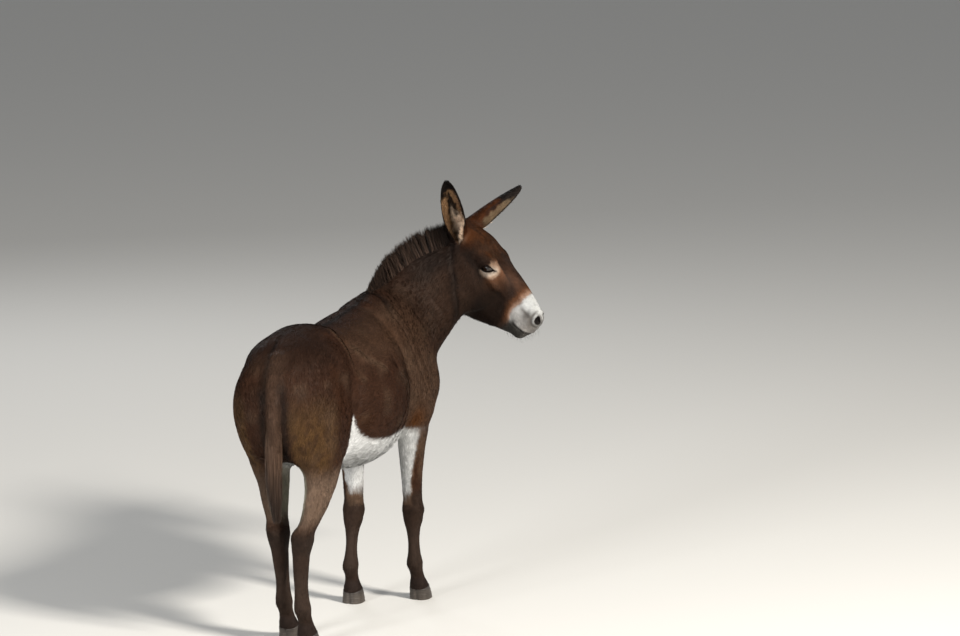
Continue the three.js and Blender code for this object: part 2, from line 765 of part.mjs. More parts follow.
// ------------------------------------------------------------------ solids
const geometryOf = ({ verts, tris }) =>
  new THREE.BufferGeometry()
    .setAttribute("position", new THREE.Float32BufferAttribute(verts, 3))
    .setIndex(tris);
function solidOf(geometry) {
  const g = geometry.clone();
  g.deleteAttribute("normal");
  g.deleteAttribute("uv");
  const merged = mergeVertices(g, 1e-3);
  return new wasm.Manifold(
    new wasm.Mesh({
      numProp: 3,
      vertProperties: new Float32Array(merged.attributes.position.array),
      triVerts: new Uint32Array(merged.index.array),
    }),
  );
}
function geometryFrom(solid) {
  const m = solid.getMesh(),
    v = new Float32Array(m.numVert * 3);
  for (let i = 0; i < m.numVert; i++)
    v.set(m.vertProperties.subarray(i * m.numProp, i * m.numProp + 3), i * 3);
  const g = new THREE.BufferGeometry()
    .setAttribute("position", new THREE.BufferAttribute(v, 3))
    .setIndex(new THREE.BufferAttribute(m.triVerts, 1));
  g.computeVertexNormals();
  return g;
}
const largest = (solid) => solid.decompose().sort((a, b) => b.volume() - a.volume())[0];

// A block on the far side of a plane through a point, as seen along its normal.
function beyond(point, normal, start = 0) {
  const size = 4000,
    n = new THREE.Vector3(...normal).normalize();
  const g = new THREE.BoxGeometry(size, size, size);
  g.applyQuaternion(
    new THREE.Quaternion().setFromUnitVectors(new THREE.Vector3(0, 0, 1), n),
  );
  const c = new THREE.Vector3(...point).addScaledVector(n, start + size / 2);
  g.translate(c.x, c.y, c.z);
  return solidOf(g);
}

const COLOURS = { coat: 0x3a2720, pale: 0xd8d2c8, dark: 0x17110f, horn: 0x4a4038, eye: 0x140d08 };
const matte = (color, roughness = 0.85) =>
  new THREE.MeshStandardMaterial({ color, roughness, metalness: 0 });
const donkey = new THREE.Group();
function add(name, solid, material) {
  const mesh = new THREE.Mesh(geometryFrom(largest(solid)), material);
  mesh.name = name;
  donkey.add(mesh);
  return mesh;
}

// ------------------------------------------------------------------ flesh
const body = simplify(
  polygonize(bodyField, [-640, -840, -60], [320, 660, 1480], BODY_CELL),
  BODY_TRIANGLES,
  (x, y, z) => (z < 480 ? 3 : 1) * (y < -480 && z > 950 ? 4 : 1),
);
let flesh = solidOf(geometryOf(body));
flesh = flesh.subtract(beyond([0, 0, 0], [0, 0, -1]));

// The body's own surface moved out by the gap, to trim what stands on it.
function grown({ verts, tris }, by) {
  const g = geometryOf({ verts, tris });
  g.computeVertexNormals();
  const p = g.attributes.position,
    n = g.attributes.normal;
  for (let i = 0; i < p.count; i++)
    p.setXYZ(
      i,
      p.getX(i) + n.getX(i) * by,
      p.getY(i) + n.getY(i) * by,
      p.getZ(i) + n.getZ(i) * by,
    );
  return solidOf(g);
}
const shell = grown(body, GAP);

// Splits a solid at a plane, taking the thin gap away from the far side.
function split(solid, point, normal) {
  const far = beyond(point, normal, GAP),
    near = beyond(point, normal, 0);
  return [solid.subtract(near), solid.intersect(far)];
}
const boxSolid = (lo, hi) => {
  const g = new THREE.BoxGeometry(hi[0] - lo[0], hi[1] - lo[1], hi[2] - lo[2]);
  g.translate((lo[0] + hi[0]) / 2, (lo[1] + hi[1]) / 2, (lo[2] + hi[2]) / 2);
  return solidOf(g);
};

// Eyes sit in round sockets.
let eyeW = 40;
while (headField(EYE.u, EYE.v, eyeW) < 0) eyeW += 0.5;
eyeW -= EYE.depth;
const eyeSolid = (side, radius) => {
  const g = new THREE.SphereGeometry(radius, 12, 8);
  const c = fromHead(EYE.u, EYE.v, eyeW * side);
  g.translate(c.x, c.y, c.z);
  return solidOf(g);
};
for (const side of [1, -1]) flesh = flesh.subtract(eyeSolid(side, EYE.radius + GAP));

// Legs.
const LEG_TOP = { hind: [0, 225, 645], fore: [24, -262, 628] }; // inner side, rear or front limit, top
const LEG_LOW = 575; // below this only the legs are left
const legParts = {};
for (const name of LEGS) {
  const side = name.endsWith("left") ? 1 : -1,
    hind = name.startsWith("hind"),
    [inner, limit, top] = LEG_TOP[name.slice(0, 4)];
  const region = (d) => {
    const x0 = hind ? GAP / 2 + d : inner + d,
      y = hind ? [limit + d, 700] : [-700, limit - d],
      z = [top - d, LEG_LOW];
    const box = (a, b) =>
      side > 0 ? boxSolid(a, b) : boxSolid([-b[0], a[1], a[2]], [-a[0], b[1], b[2]]);
    return box([x0, y[0], z[1]], [300, y[1], z[0]]).add(
      box([GAP / 2 + d, hind ? 60 : -700, -60], [300, hind ? 700 : 40, z[1] + 1]),
    );
  };
  legParts[name] = flesh.intersect(region(GAP));
  legParts[name + "_box"] = region(0);
}
for (const name of LEGS) flesh = flesh.subtract(legParts[name + "_box"]);

// Head and neck.
const throat = NECK_AXIS[4];
const [trunkAndNeck, headPart] = split(flesh, [-225, -655, 1250], [-0.72, -0.3, 0.1]);
const [trunkPart, neckPart] = split(trunkAndNeck, [0, -470, 980], [-0.1, -0.78, 0.62]);
add("trunk", trunkPart, matte(COLOURS.coat));
add("neck", neckPart, matte(COLOURS.coat));
add("head", headPart, matte(COLOURS.coat));
for (const [name, side] of [
  ["eye_left", 1],
  ["eye_right", -1],
])
  add(name, eyeSolid(side, EYE.radius), matte(COLOURS.eye, 0.2));
for (const name of LEGS) {
  const y = (name.startsWith("hind") ? 402 : -408) + STEP[name][0];
  const slope = (CORONET[0] - CORONET[1]) / 80;
  const [hoof, leg] = split(legParts[name], [0, y, (CORONET[0] + CORONET[1]) / 2], [0, slope, 1]);
  add("leg_" + name, leg, matte(COLOURS.coat));
  add("hoof_" + name, hoof, matte(COLOURS.horn, 0.6));
}

// ------------------------------------------------------------------ ears
const earTable = tableOf(EAR);
function earSolid({ base, axis, opening, length, wide }) {
  const A = new THREE.Vector3(...axis).normalize(),
    O = new THREE.Vector3(...opening);
  O.addScaledVector(A, -O.dot(A)).normalize();
  const S = new THREE.Vector3().crossVectors(A, O);
  const g = new THREE.BoxGeometry(1, 1, 1, 10, 12, 1),
    p = g.attributes.position;
  for (let i = 0; i < p.count; i++) {
    const t = p.getY(i) + 0.5,
      [, half, angle, thick] = readTable(earTable, t),
      alpha = angle * D2R,
      R = (half * wide) / Math.sin(Math.min(alpha, Math.PI / 2)),
      phi = p.getX(i) * 2 * alpha,
      r = R + (p.getZ(i) - 0.5) * thick * (R > thick ? 1 : 0.4);
    // The back of the ear runs straight and the tip bends a little towards the opening.
    const back = R - 30,
      bend = 14 * t * t;
    const c = new THREE.Vector3(...base)
      .addScaledVector(A, t * length - 22)
      .addScaledVector(O, back + bend)
      .addScaledVector(O, -r * Math.cos(phi))
      .addScaledVector(S, r * Math.sin(phi));
    const q = fromHead(c.x, c.y, c.z);
    p.setXYZ(i, q.x, q.y, q.z);
  }
  return solidOf(g);
}
for (const name of Object.keys(EARS)) {
  let ear = earSolid(EARS[name]);
  if (ear.volume() < 0) throw new Error("ear inside out");
  add(name, ear.subtract(shell), matte(COLOURS.coat));
}

// ------------------------------------------------------------------ mane
const maneTable = tableOf(MANE);
function crestAt(s) {
  // From the poll (0) down the crest of the neck to the withers (1).
  const k = MANE_POLL.share,
    f = (1 - clamp((s - k) / (1 - k), 0, 1)) * NECK_STEPS,
    i = Math.min(NECK_STEPS - 1, Math.floor(f)),
    x = f - i,
    m = neckSamples[i].map((v, k) => lerp(v, neckSamples[i + 1][k], x)),
    up = readTable(neckTable, f / NECK_STEPS)[2],
    t = clamp(s / k, 0, 1),
    poll = fromHead(...MANE_POLL.at),
    pollUp = fromHead(...MANE_POLL.up).sub(fromHead(0, 0, 0)).normalize(),
    pollSide = fromHead(0, 0, 1).sub(fromHead(0, 0, 0));
  const crest = new THREE.Vector3(m[0] + m[6] * up, m[1] + m[7] * up, m[2] + m[8] * up);
  return {
    c: poll.lerp(crest, t),
    up: pollUp.lerp(new THREE.Vector3(m[6], m[7], m[8]).normalize(), t).normalize(),
    side: pollSide.lerp(new THREE.Vector3(m[3], m[4], m[5]).normalize(), t).normalize(),
  };
}
function maneSolid() {
  const g = new THREE.BoxGeometry(1, 1, 1, 2, MANE_STEPS, 2),
    p = g.attributes.position;
  for (let i = 0; i < p.count; i++) {
    const s = p.getY(i) + 0.5,
      h = p.getZ(i) + 0.5,
      across = p.getX(i) * 2,
      [, height, half] = readTable(maneTable, s);
    const { c, up, side } = crestAt(s);
    const tip = height + 5 * Math.sin(s * 61) + 4 * Math.sin(s * 113 + 1);
    const rise = lerp(-30, Math.max(tip, 6), h) - Math.abs(across) * 7 * h;
    const q = c
      .clone()
      .addScaledVector(up, rise)
      .addScaledVector(side, across * half * (1 - 0.55 * h));
    p.setXYZ(i, q.x, q.y, q.z);
  }
  return solidOf(g);
}
let mane = maneSolid();
if (mane.volume() < 0) throw new Error("mane inside out");
add("mane", mane.subtract(shell), matte(COLOURS.dark));

// ------------------------------------------------------------------ tail
const tailTable = tableOf(TAIL);
function tailSolid() {
  const g = new THREE.CylinderGeometry(1, 1, 1, 12, 16),
    p = g.attributes.position;
  for (let i = 0; i < p.count; i++) {
    const s = 0.5 - p.getY(i),
      [, x, y, z, a, b] = readTable(tailTable, s),
      r = Math.hypot(p.getX(i), p.getZ(i));
    const e = 0.01,
      n = readTable(tailTable, Math.min(1, s + e)),
      m = readTable(tailTable, Math.max(0, s - e));
    const t = new THREE.Vector3(n[1] - m[1], n[2] - m[2], n[3] - m[3]).normalize(),
      out = new THREE.Vector3(0, 1, 0).addScaledVector(t, -t.y).normalize();
    const q = new THREE.Vector3(x, y, z)
      .add(new THREE.Vector3(-a * p.getX(i), 0, 0))
      .addScaledVector(out, b * p.getZ(i) * (r > 0 ? 1 : 0));
    p.setXYZ(i, q.x, q.y, q.z);
  }
  return solidOf(g);
}
let tail = tailSolid();
if (tail.volume() < 0) throw new Error("tail inside out");
tail = tail.subtract(shell);
const [tuft, dock] = split(tail, [0, 560, TAIL_TUFT_AT], [0, 0, 1]);
add("tail", dock, matte(COLOURS.coat));
add("tail_tuft", tuft, matte(COLOURS.dark));

// ------------------------------------------------------------------ the origin under the middle
const extent = new THREE.Box3().setFromObject(donkey),
  centre = extent.getCenter(new THREE.Vector3());
for (const mesh of donkey.children) mesh.geometry.translate(-centre.x, -centre.y, 0);

export default donkey;
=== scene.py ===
import bpy
import bmesh
import math
import time
import numpy as np
from mathutils import Vector, Matrix


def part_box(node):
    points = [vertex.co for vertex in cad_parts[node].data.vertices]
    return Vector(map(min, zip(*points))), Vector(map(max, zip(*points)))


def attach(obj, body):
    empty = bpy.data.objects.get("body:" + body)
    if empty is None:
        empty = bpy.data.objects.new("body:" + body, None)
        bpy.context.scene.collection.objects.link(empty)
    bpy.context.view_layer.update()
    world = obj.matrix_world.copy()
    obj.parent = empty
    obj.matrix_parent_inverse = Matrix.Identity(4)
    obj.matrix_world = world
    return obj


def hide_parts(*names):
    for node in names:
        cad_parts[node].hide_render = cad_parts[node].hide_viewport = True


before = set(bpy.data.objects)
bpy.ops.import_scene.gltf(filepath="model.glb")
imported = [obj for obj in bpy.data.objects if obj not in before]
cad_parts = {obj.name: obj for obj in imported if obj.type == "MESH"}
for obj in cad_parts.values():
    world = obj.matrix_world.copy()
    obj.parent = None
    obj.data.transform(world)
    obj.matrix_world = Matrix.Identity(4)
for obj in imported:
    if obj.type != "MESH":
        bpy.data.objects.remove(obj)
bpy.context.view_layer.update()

T0 = time.time()
D2R = math.pi / 180


def said(text):
    print("[%6.1f s] %s" % (time.time() - T0, text), flush=True)


# ============================================================ the body's sizes, mm
# Body frame: the donkey faces -Y, its left is +X, the ground is z = 0.
TRUNK = [
    [560, 905, 105, 140, 92, 2.0, 2.0],
    [500, 915, 166, 190, 127, 1.9, 2.0],
    [420, 910, 212, 225, 152, 1.9, 2.1],
    [330, 900, 250, 230, 160, 1.85, 2.1],
    [240, 880, 271, 228, 178, 1.75, 2.1],
    [140, 860, 279, 240, 219, 1.8, 2.1],
    [20, 845, 300, 246, 249, 1.8, 2.1],
    [-100, 840, 322, 240, 245, 1.8, 2.1],
    [-200, 850, 328, 236, 214, 1.7, 2.1],
    [-290, 865, 328, 235, 184, 1.55, 2.1],
    [-370, 875, 318, 232, 168, 1.5, 2.1],
    [-450, 885, 262, 205, 150, 1.7, 2.0],
    [-520, 890, 190, 160, 128, 1.9, 2.0],
]
NECK_AXIS = [[0, -300, 960], [-15, -430, 1010], [-75, -540, 1085], [-165, -610, 1165], [-262, -640, 1225]]
NECK = [
    [0.0, 150, 215, 215, 2],
    [0.25, 125, 196, 205, 12],
    [0.5, 98, 188, 175, 36],
    [0.75, 80, 178, 124, 60],
    [1.0, 72, 152, 94, 76],
]
HEAD = dict(at=(-262, -659, 1423), heading=86, pitch=55, roll=5)
SKULL = [
    [-10, 2, -120, -50, 46, 2.0, 2.0],
    [30, 21, -150, -45, 65, 2.0, 2.0],
    [67, 34, -180, -30, 78, 2.0, 2.0],
    [104, 41, -205, -15, 83, 2.05, 1.9],
    [146, 43, -224, -5, 82, 2.1, 1.75],
    [195, 42, -231, -8, 74, 2.2, 1.75],
    [240, 43, -231, -12, 63, 2.3, 1.8],
    [281, 45, -219, -15, 54, 2.3, 1.8],
    [324, 48, -186, -18, 47, 2.3, 1.9],
    [365, 49, -153, -22, 44, 2.3, 2.0],
    [410, 46, -120, -28, 45, 2.3, 2.2],
    [438, 37, -97, -30, 44, 2.2, 2.2],
]
HEAD_MASSES = [
    [[205, -112, 52], [85, 84, 30], 0, 30, 2],
    [[149, -3, 61], [38, 24, 21], 0, 20, 2],
    [[200, -22, 66], [60, 14, 16], -8, 20, 2],
    [[422, 18, 29], [24, 21, 17], 0, 18, 2],
    [[432, -14, 0], [28, 43, 43], 0, 24, 1],
    [[433, -75, 0], [30, 24, 31], 0, 20, 1],
    [[300, 34, 0], [110, 16, 26], 0, 16, 1],
]
HIND = [
    [1040, 80, 400, 52, 100, 90, 2.0],
    [960, 96, 400, 76, 145, 145, 2.0],
    [880, 104, 392, 84, 165, 162, 2.0],
    [800, 104, 380, 83, 164, 160, 2.0],
    [720, 101, 366, 74, 149, 147, 2.0],
    [650, 109, 367, 54, 121, 113, 2.0],
    [590, 102, 367, 45, 103, 94, 2.0],
    [520, 91, 392, 37, 92, 72, 2.0],
    [465, 77, 412, 32, 67, 58, 2.2],
    [425, 63, 434, 36, 55, 57, 2.4],
    [385, 60, 438, 36, 44, 46, 2.4],
    [345, 57, 440, 32, 36, 37, 2.2],
    [290, 55, 441, 28, 31, 35, 2.1],
    [230, 54, 439, 25, 28, 32, 2.1],
    [185, 55, 437, 27, 29, 34, 2.1],
    [150, 56, 433, 31, 31, 38, 2.1],
    [120, 57, 426, 27, 28, 33, 2.1],
    [90, 58, 416, 28, 30, 31, 2.1],
    [62, 58, 408, 34, 38, 36, 2.2],
    [30, 58, 400, 38, 47, 39, 2.3],
    [-20, 58, 394, 42, 57, 43, 2.4],
]
FORE = [
    [920, 112, -385, 52, 70, 80, 2.0],
    [820, 124, -390, 64, 88, 92, 2.0],
    [740, 126, -384, 68, 86, 92, 2.0],
    [680, 121, -376, 62, 74, 80, 2.0],
    [620, 115, -373, 54, 62, 64, 2.0],
    [540, 108, -373, 45, 51, 51, 2.0],
    [460, 103, -375, 38, 42, 42, 2.1],
    [395, 100, -378, 37, 40, 38, 2.3],
    [355, 99, -380, 40, 41, 40, 2.4],
    [315, 98, -379, 36, 36, 38, 2.3],
    [280, 98, -376, 27, 27, 32, 2.2],
    [230, 98, -375, 22, 24, 29, 2.1],
    [185, 98, -375, 24, 27, 33, 2.1],
    [150, 98, -376, 30, 31, 38, 2.1],
    [120, 98, -383, 26, 28, 32, 2.1],
    [90, 98, -393, 27, 30, 30, 2.1],
    [62, 98, -402, 34, 38, 36, 2.2],
    [30, 98, -410, 38, 47, 39, 2.3],
    [-20, 98, -416, 42, 57, 43, 2.4],
]
STEP = dict(hind_right=(-8, 900, 10), hind_left=(-98, 900, -10), fore_right=(-35, 800, 40), fore_left=(130, 800, -28))
LEGS = ["hind_right", "hind_left", "fore_right", "fore_left"]
CORONET = (62, 44)
MASSES = [
    [[97, 382, 888], [74, 166, 190], [0, 0, 0], 60, 2],
    [[48, 325, 1030], [78, 188, 118], [-10, 0, 0], 70, 2],
    [[100, 240, 996], [46, 95, 60], [20, 0, 0], 80, 2],
    [[63, 507, 884], [58, 69, 166], [0, 0, 0], 50, 2],
    [[122, -375, 930], [60, 110, 215], [-20, -14, 0], 70, 2],
    [[122, -500, 835], [64, 66, 100], [0, 0, 0], 60, 2],
    [[146, -300, 790], [50, 95, 95], [30, 0, 0], 50, 2],
    [[56, -500, 800], [58, 66, 100], [0, 0, 0], 60, 2],
    [[0, 20, 722], [195, 290, 110], [0, 0, 0], 70, 1],
]
EARS = dict(
    ear_right=dict(base=(-2, -45, -50), axis=(-0.744, 0.517, -0.423), opening=(0.18, 0.29, -0.94), length=247, wide=1.0),
    ear_left=dict(base=(-4, -8, 50), axis=(-0.076, 0.785, 0.614), opening=(0.78, -0.09, 0.62), length=243, wide=0.9),
)
EAR = [
    [0.0, 30.5, 150, 7.5],
    [0.15, 34.5, 132, 7.2],
    [0.3, 37, 108, 6.8],
    [0.45, 38, 92, 6.4],
    [0.6, 36.5, 82, 6],
    [0.75, 31.5, 74, 5.6],
    [0.88, 24, 68, 5.2],
    [0.96, 16.5, 64, 5],
    [1.0, 9, 60, 5],
]
MANE = [[0.0, 8, 6], [0.05, 30, 9], [0.1, 66, 12], [0.18, 90, 15], [0.3, 90, 17], [0.55, 80, 17], [0.8, 58, 15], [0.93, 32, 12], [1.0, 8, 8]]
MANE_POLL = dict(share=0.14, at=(-2, -4, 0), up=(-0.75, 0.65, 0))
TAIL = [
    [0.0, 0, 490, 1062, 38, 32],
    [0.1, -10, 543, 1022, 33, 30],
    [0.22, -30, 580, 950, 31, 28],
    [0.42, -35, 590, 850, 30, 27],
    [0.62, -26, 576, 730, 28, 24],
    [0.8, -16, 556, 630, 26, 22],
    [0.92, -14, 540, 550, 21, 19],
    [1.0, -14, 528, 480, 6, 6],
]
EYE = dict(u=173, v=-6, radius=22.5, depth=16.0)

# ============================================================ small maths
FINE = 160


def lerp(a, b, t):
    return a + (b - a) * t


def sst(a, b, x):
    t = np.clip((x - a) / (b - a), 0, 1)
    return t * t * (3 - 2 * t)


def gauss(d, w):
    return np.exp(-((d / w) ** 2))


def smin(a, b, k):
    h = np.maximum(k - np.abs(a - b), 0) / k
    return np.minimum(a, b) - h * h * k / 4


def smax(a, b, k):
    return -smin(-a, -b, k)


def unit(v):
    v = np.asarray(v, float)
    return v / np.maximum(np.linalg.norm(v, axis=-1, keepdims=True), 1e-12)


class Table:
    """A smooth curve through the rows, sampled finely and read by straight steps."""

    def __init__(self, rows):
        s = np.array(sorted([list(map(float, r)) for r in rows]))
        self.lo, self.hi = s[0, 0], s[-1, 0]
        out = []
        for k in range(FINE + 1):
            t = lerp(self.lo, self.hi, k / FINE)
            i = 0
            while i < len(s) - 2 and t > s[i + 1, 0]:
                i += 1
            h = s[i + 1, 0] - s[i, 0]
            x = (t - s[i, 0]) / h

            def slope(j):
                a, b = s[max(0, j - 1)], s[min(len(s) - 1, j + 1)]
                return (b - a) / (b[0] - a[0])

            ma, mb = slope(i) * h, slope(i + 1) * h
            row = (2 * x**3 - 3 * x * x + 1) * s[i] + (x**3 - 2 * x * x + x) * ma + (-2 * x**3 + 3 * x * x) * s[i + 1] + (x**3 - x * x) * mb
            row[0] = t
            out.append(row)
        self.rows = np.array(out)

    def __call__(self, t):
        f = np.clip((np.asarray(t, float) - self.lo) / (self.hi - self.lo), 0, 1) * FINE
        i = np.minimum(FINE - 1, f.astype(int))
        x = (f - i)[..., None]
        r = self.rows[i] * (1 - x) + self.rows[i + 1] * x
        return [r[..., c] for c in range(r.shape[-1])]


def section(qa, qb, ra, rb, n, over, cap):
    rs = (np.abs(qa / ra) ** n + np.abs(qb / rb) ** n) ** (1 / n)
    rho = np.sqrt(rs * rs + (over / cap) ** 2)
    length = np.sqrt(qa * qa + qb * qb + over * over)
    near = rho < 0.08
    return np.where(near, -np.minimum(ra, rb) * (1 - rho), length * (1 - 1 / np.maximum(rho, 0.02)))


def hash3(i, j, k, seed):
    h = (i * 73856093) ^ (j * 19349663) ^ (k * 83492791) ^ (seed * 2654435761)
    h = (h ^ (h >> 13)) * 1274126177
    return ((h ^ (h >> 16)) & 0xFFFFFF) / float(0xFFFFFF)


def noise(P, scale, seed=0):
    """Smooth noise from -1 to 1 with features about as large as the scale."""
    q = np.asarray(P, float) / scale + 1000.0
    i = np.floor(q).astype(np.int64)
    f = q - i
    f = f * f * (3 - 2 * f)
    out = 0
    for a in (0, 1):
        for b in (0, 1):
            for c in (0, 1):
                w = (f[:, 0] if a else 1 - f[:, 0]) * (f[:, 1] if b else 1 - f[:, 1]) * (f[:, 2] if c else 1 - f[:, 2])
                out = out + w * hash3(i[:, 0] + a, i[:, 1] + b, i[:, 2] + c, seed)
    return out * 2 - 1


# ============================================================ the body's field, mm, negative inside
trunk_table = Table(TRUNK)


def trunk_field(x, y, z):
    t = np.clip(y, trunk_table.lo, trunk_table.hi)
    _, c, up, down, w, nu, nd = trunk_table(t)
    dz = z - c
    cap = np.where(y > t, 40.0, 62.0)
    blend = np.clip(0.5 + dz / 120, 0, 1)
    return section(x, dz, w, np.where(dz > 0, up, down), lerp(nd, nu, blend), y - t, cap)


def leg_table(name):
    rows = [list(map(float, r)) for r in (HIND if name.startswith("hind") else FORE)]
    step, start, out = STEP[name]
    side = 1 if name.endswith("left") else -1
    for r in rows:
        share = min(1, max(0, 1 - r[0] / start))
        r[1] = (r[1] + out * math.sqrt(share)) * side
        r[2] += step * share
    return Table(rows)


leg_tables = {n: leg_table(n) for n in LEGS}


def leg_field(name, x, y, z):
    table = leg_tables[name]
    t = np.clip(z, table.lo, table.hi)
    _, cx, cy, a, f, b, n = table(t)
    dy = y - cy
    cap = np.where(z > t, 60.0, 12.0)
    return section(x - cx, dy, a, np.where(dy < 0, f, b), n, z - t, cap)


def centripetal(points, count):
    """Points along a centripetal Catmull-Rom curve, evenly spaced by length, with their directions."""
    P = [np.array(p, float) for p in points]
    P = [2 * P[0] - P[1]] + P + [2 * P[-1] - P[-2]]
    dense = []
    for i in range(1, len(P) - 2):
        x0, x1, x2, x3 = P[i - 1 : i + 3]
        d0, d1, d2 = [np.sum((b - a) ** 2) ** 0.25 for a, b in ((x0, x1), (x1, x2), (x2, x3))]
        t1 = ((x1 - x0) / d0 - (x2 - x0) / (d0 + d1) + (x2 - x1) / d1) * d1
        t2 = ((x2 - x1) / d1 - (x3 - x1) / (d1 + d2) + (x3 - x2) / d2) * d1
        for k in range(100):
            u = k / 100
            dense.append(x1 + t1 * u + (-3 * x1 + 3 * x2 - 2 * t1 - t2) * u * u + (2 * x1 - 2 * x2 + t1 + t2) * u**3)
    dense.append(P[-2])
    dense = np.array(dense)
    run = np.concatenate([[0], np.cumsum(np.linalg.norm(np.diff(dense, axis=0), axis=1))])
    s = np.linspace(0, run[-1], count)
    out = np.stack([np.interp(s, run, dense[:, c]) for c in range(3)], 1)
    slope = np.gradient(dense, axis=0) / np.gradient(run)[:, None]
    tangent = unit(np.stack([np.interp(s, run, slope[:, c]) for c in range(3)], 1))
    return out, tangent, run[-1]


def heading_vector(deg):
    return np.array([-math.sin(deg * D2R), -math.cos(deg * D2R), 0.0])


def left_vector(deg):
    return np.array([math.cos(deg * D2R), -math.sin(deg * D2R), 0.0])


NECK_STEPS = 24
neck_table = Table(NECK)
neck_c, neck_t, neck_length = centripetal(NECK_AXIS, NECK_STEPS + 1)
neck_left, neck_up = [], []
for i in range(NECK_STEPS + 1):
    left = left_vector(float(neck_table(i / NECK_STEPS)[4]))
    left = unit(left - neck_t[i] * left.dot(neck_t[i]))
    up = unit(np.cross(left, neck_t[i]))
    neck_left.append(left)
    neck_up.append(up if up[2] > 0 else -up)
neck_left, neck_up = np.array(neck_left), np.array(neck_up)
neck_all = np.concatenate([neck_c, neck_left, neck_up, neck_t], 1)


def neck_coords(P):
    """Share of the neck's run, offsets to its left and upwards, and how far past its ends."""
    best = np.full(len(P), 1e18)
    where = np.zeros(len(P))
    over = np.zeros(len(P))
    for i in range(NECK_STEPS):
        a, e = neck_c[i], neck_c[i + 1] - neck_c[i]
        ee = e.dot(e)
        raw = (P - a) @ e / ee
        s = np.clip(raw, 0, 1)
        d = np.sum((P - a - s[:, None] * e) ** 2, axis=1)
        m = d < best
        best[m] = d[m]
        where[m] = i + s[m]
        o = np.zeros(len(P))
        if i == 0:
            o = np.where(raw < 0, raw * math.sqrt(ee), 0)
        if i == NECK_STEPS - 1:
            o = np.where(raw > 1, (raw - 1) * math.sqrt(ee), 0)
        over[m] = o[m]
    i = np.minimum(NECK_STEPS - 1, where.astype(int))
    f = (where - i)[:, None]
    m = neck_all[i] * (1 - f) + neck_all[i + 1] * f
    q = P - m[:, :3]
    return where / NECK_STEPS, np.sum(q * m[:, 3:6], 1), np.sum(q * m[:, 6:9], 1), over, m[:, 9:12]


def neck_field(P):
    s, lat, dor, over, _ = neck_coords(P)
    _, w, up, down, _ = neck_table(s)
    n = np.where(dor > 0, 1.75, 2.1)
    return section(lat, dor, w, np.where(dor > 0, up, down), n, over, 60.0)


def turned(v, axis, angle):
    return v * math.cos(angle) + np.cross(axis, v) * math.sin(angle) + axis * axis.dot(v) * (1 - math.cos(angle))


HU = heading_vector(HEAD["heading"]) * math.cos(HEAD["pitch"] * D2R) + np.array([0, 0, -math.sin(HEAD["pitch"] * D2R)])
HW = left_vector(HEAD["heading"])
HV = unit(np.cross(HW, HU))
if HV[2] < 0:
    HV = -HV
HW = turned(HW, HU, HEAD["roll"] * D2R)
HV = turned(HV, HU, HEAD["roll"] * D2R)
HAT = np.array(HEAD["at"], float)
HM = np.stack([HU, HV, HW])  # rows


def to_head(P):
    return (P - HAT) @ HM.T


def from_head(q):
    return HAT + np.asarray(q, float) @ HM


skull_table = Table(SKULL)


def ellipsoid(P, c, r, rows):
    q = (P - np.array(c, float)) @ np.array(rows, float).T
    r = np.array(r, float)
    k0 = np.sqrt(np.sum((q / r) ** 2, 1))
    k1 = np.sqrt(np.sum((q / r**2) ** 2, 1))
    return np.where(k0 < 1e-3, -r.min(), k0 * (k0 - 1) / np.maximum(k1, 1e-9))


head_masses = []
for c, r, turn, blend, sides in HEAD_MASSES:
    for side in (1, -1) if sides == 2 else (1,):
        k, n = math.cos(turn * D2R), math.sin(turn * D2R)
        head_masses.append(([c[0], c[1], c[2] * side], r, blend, [[k, n, 0], [-n, k, 0], [0, 0, 1]]))


def skull_field(q):
    u, v, w = q[:, 0], q[:, 1], q[:, 2]
    t = np.clip(u, skull_table.lo, skull_table.hi)
    _, top, bottom, c, half, nu, nd = skull_table(t)
    dv = v - c
    cap = np.where(u > t, 30.0, 40.0)
    d = section(w, dv, half, np.where(dv > 0, top - c, c - bottom), np.where(dv > 0, nu, nd), u - t, cap)
    for c, r, blend, rows in head_masses:
        d = smin(d, ellipsoid(q, c, r, rows), blend)
    return d


masses = []
for c, r, turn, blend, sides in MASSES:
    for side in (1, -1) if sides == 2 else (1,):
        rot = (
            Matrix.Rotation(turn[0] * D2R, 3, "X")
            @ Matrix.Rotation(turn[1] * side * D2R, 3, "Y")
            @ Matrix.Rotation(turn[2] * side * D2R, 3, "Z")
        )
        masses.append(([c[0] * side, c[1], c[2]], r, blend, np.array(rot).T))

# ------------------------------------------------------------ ears
ear_table = Table(EAR)
ears = {}
for name, e in EARS.items():
    A = unit(np.array(e["axis"]))
    O = np.array(e["opening"])
    O = unit(O - A * O.dot(A))
    ears[name] = (np.array(e["base"], float), A, O, np.cross(A, O), e["length"])


def ear_coords(name, q):
    """Share of the ear's length, signed angle round it as a share of its half angle, distance from the
    middle of its sheet (positive outside), distance past its edge, past its tip, and its thickness."""
    base, A, O, S, length = ears[name]
    p = q - base
    a, o, s = p @ A, p @ O, p @ S
    raw = (a + 22) / length
    t = np.clip(raw, 0, 1)
    _, half, angle, thick = ear_table(t)
    half = half * EARS[name]["wide"]
    alpha = angle * D2R
    R = half / np.sin(np.minimum(alpha, math.pi / 2))
    centre = R - 30 + 14 * t * t
    dx, dy = -(o - centre), s
    r = np.hypot(dx, dy)
    phi = np.arctan2(dy, dx)
    share = phi / alpha
    inside = np.abs(share) <= 1
    ex, ey = R * np.cos(alpha), R * np.sin(alpha)
    edge = np.hypot(dx - ex, np.abs(dy) - ey)
    return t, share, r - R, np.where(inside, 0, edge), (raw - t) * length, thick, inside


def ear_field(name, q):
    t, share, off, edge, over, thick, inside = ear_coords(name, q)
    d = np.where(inside, np.abs(off), edge)
    return np.where(over != 0, np.hypot(d, over), d) - thick / 2


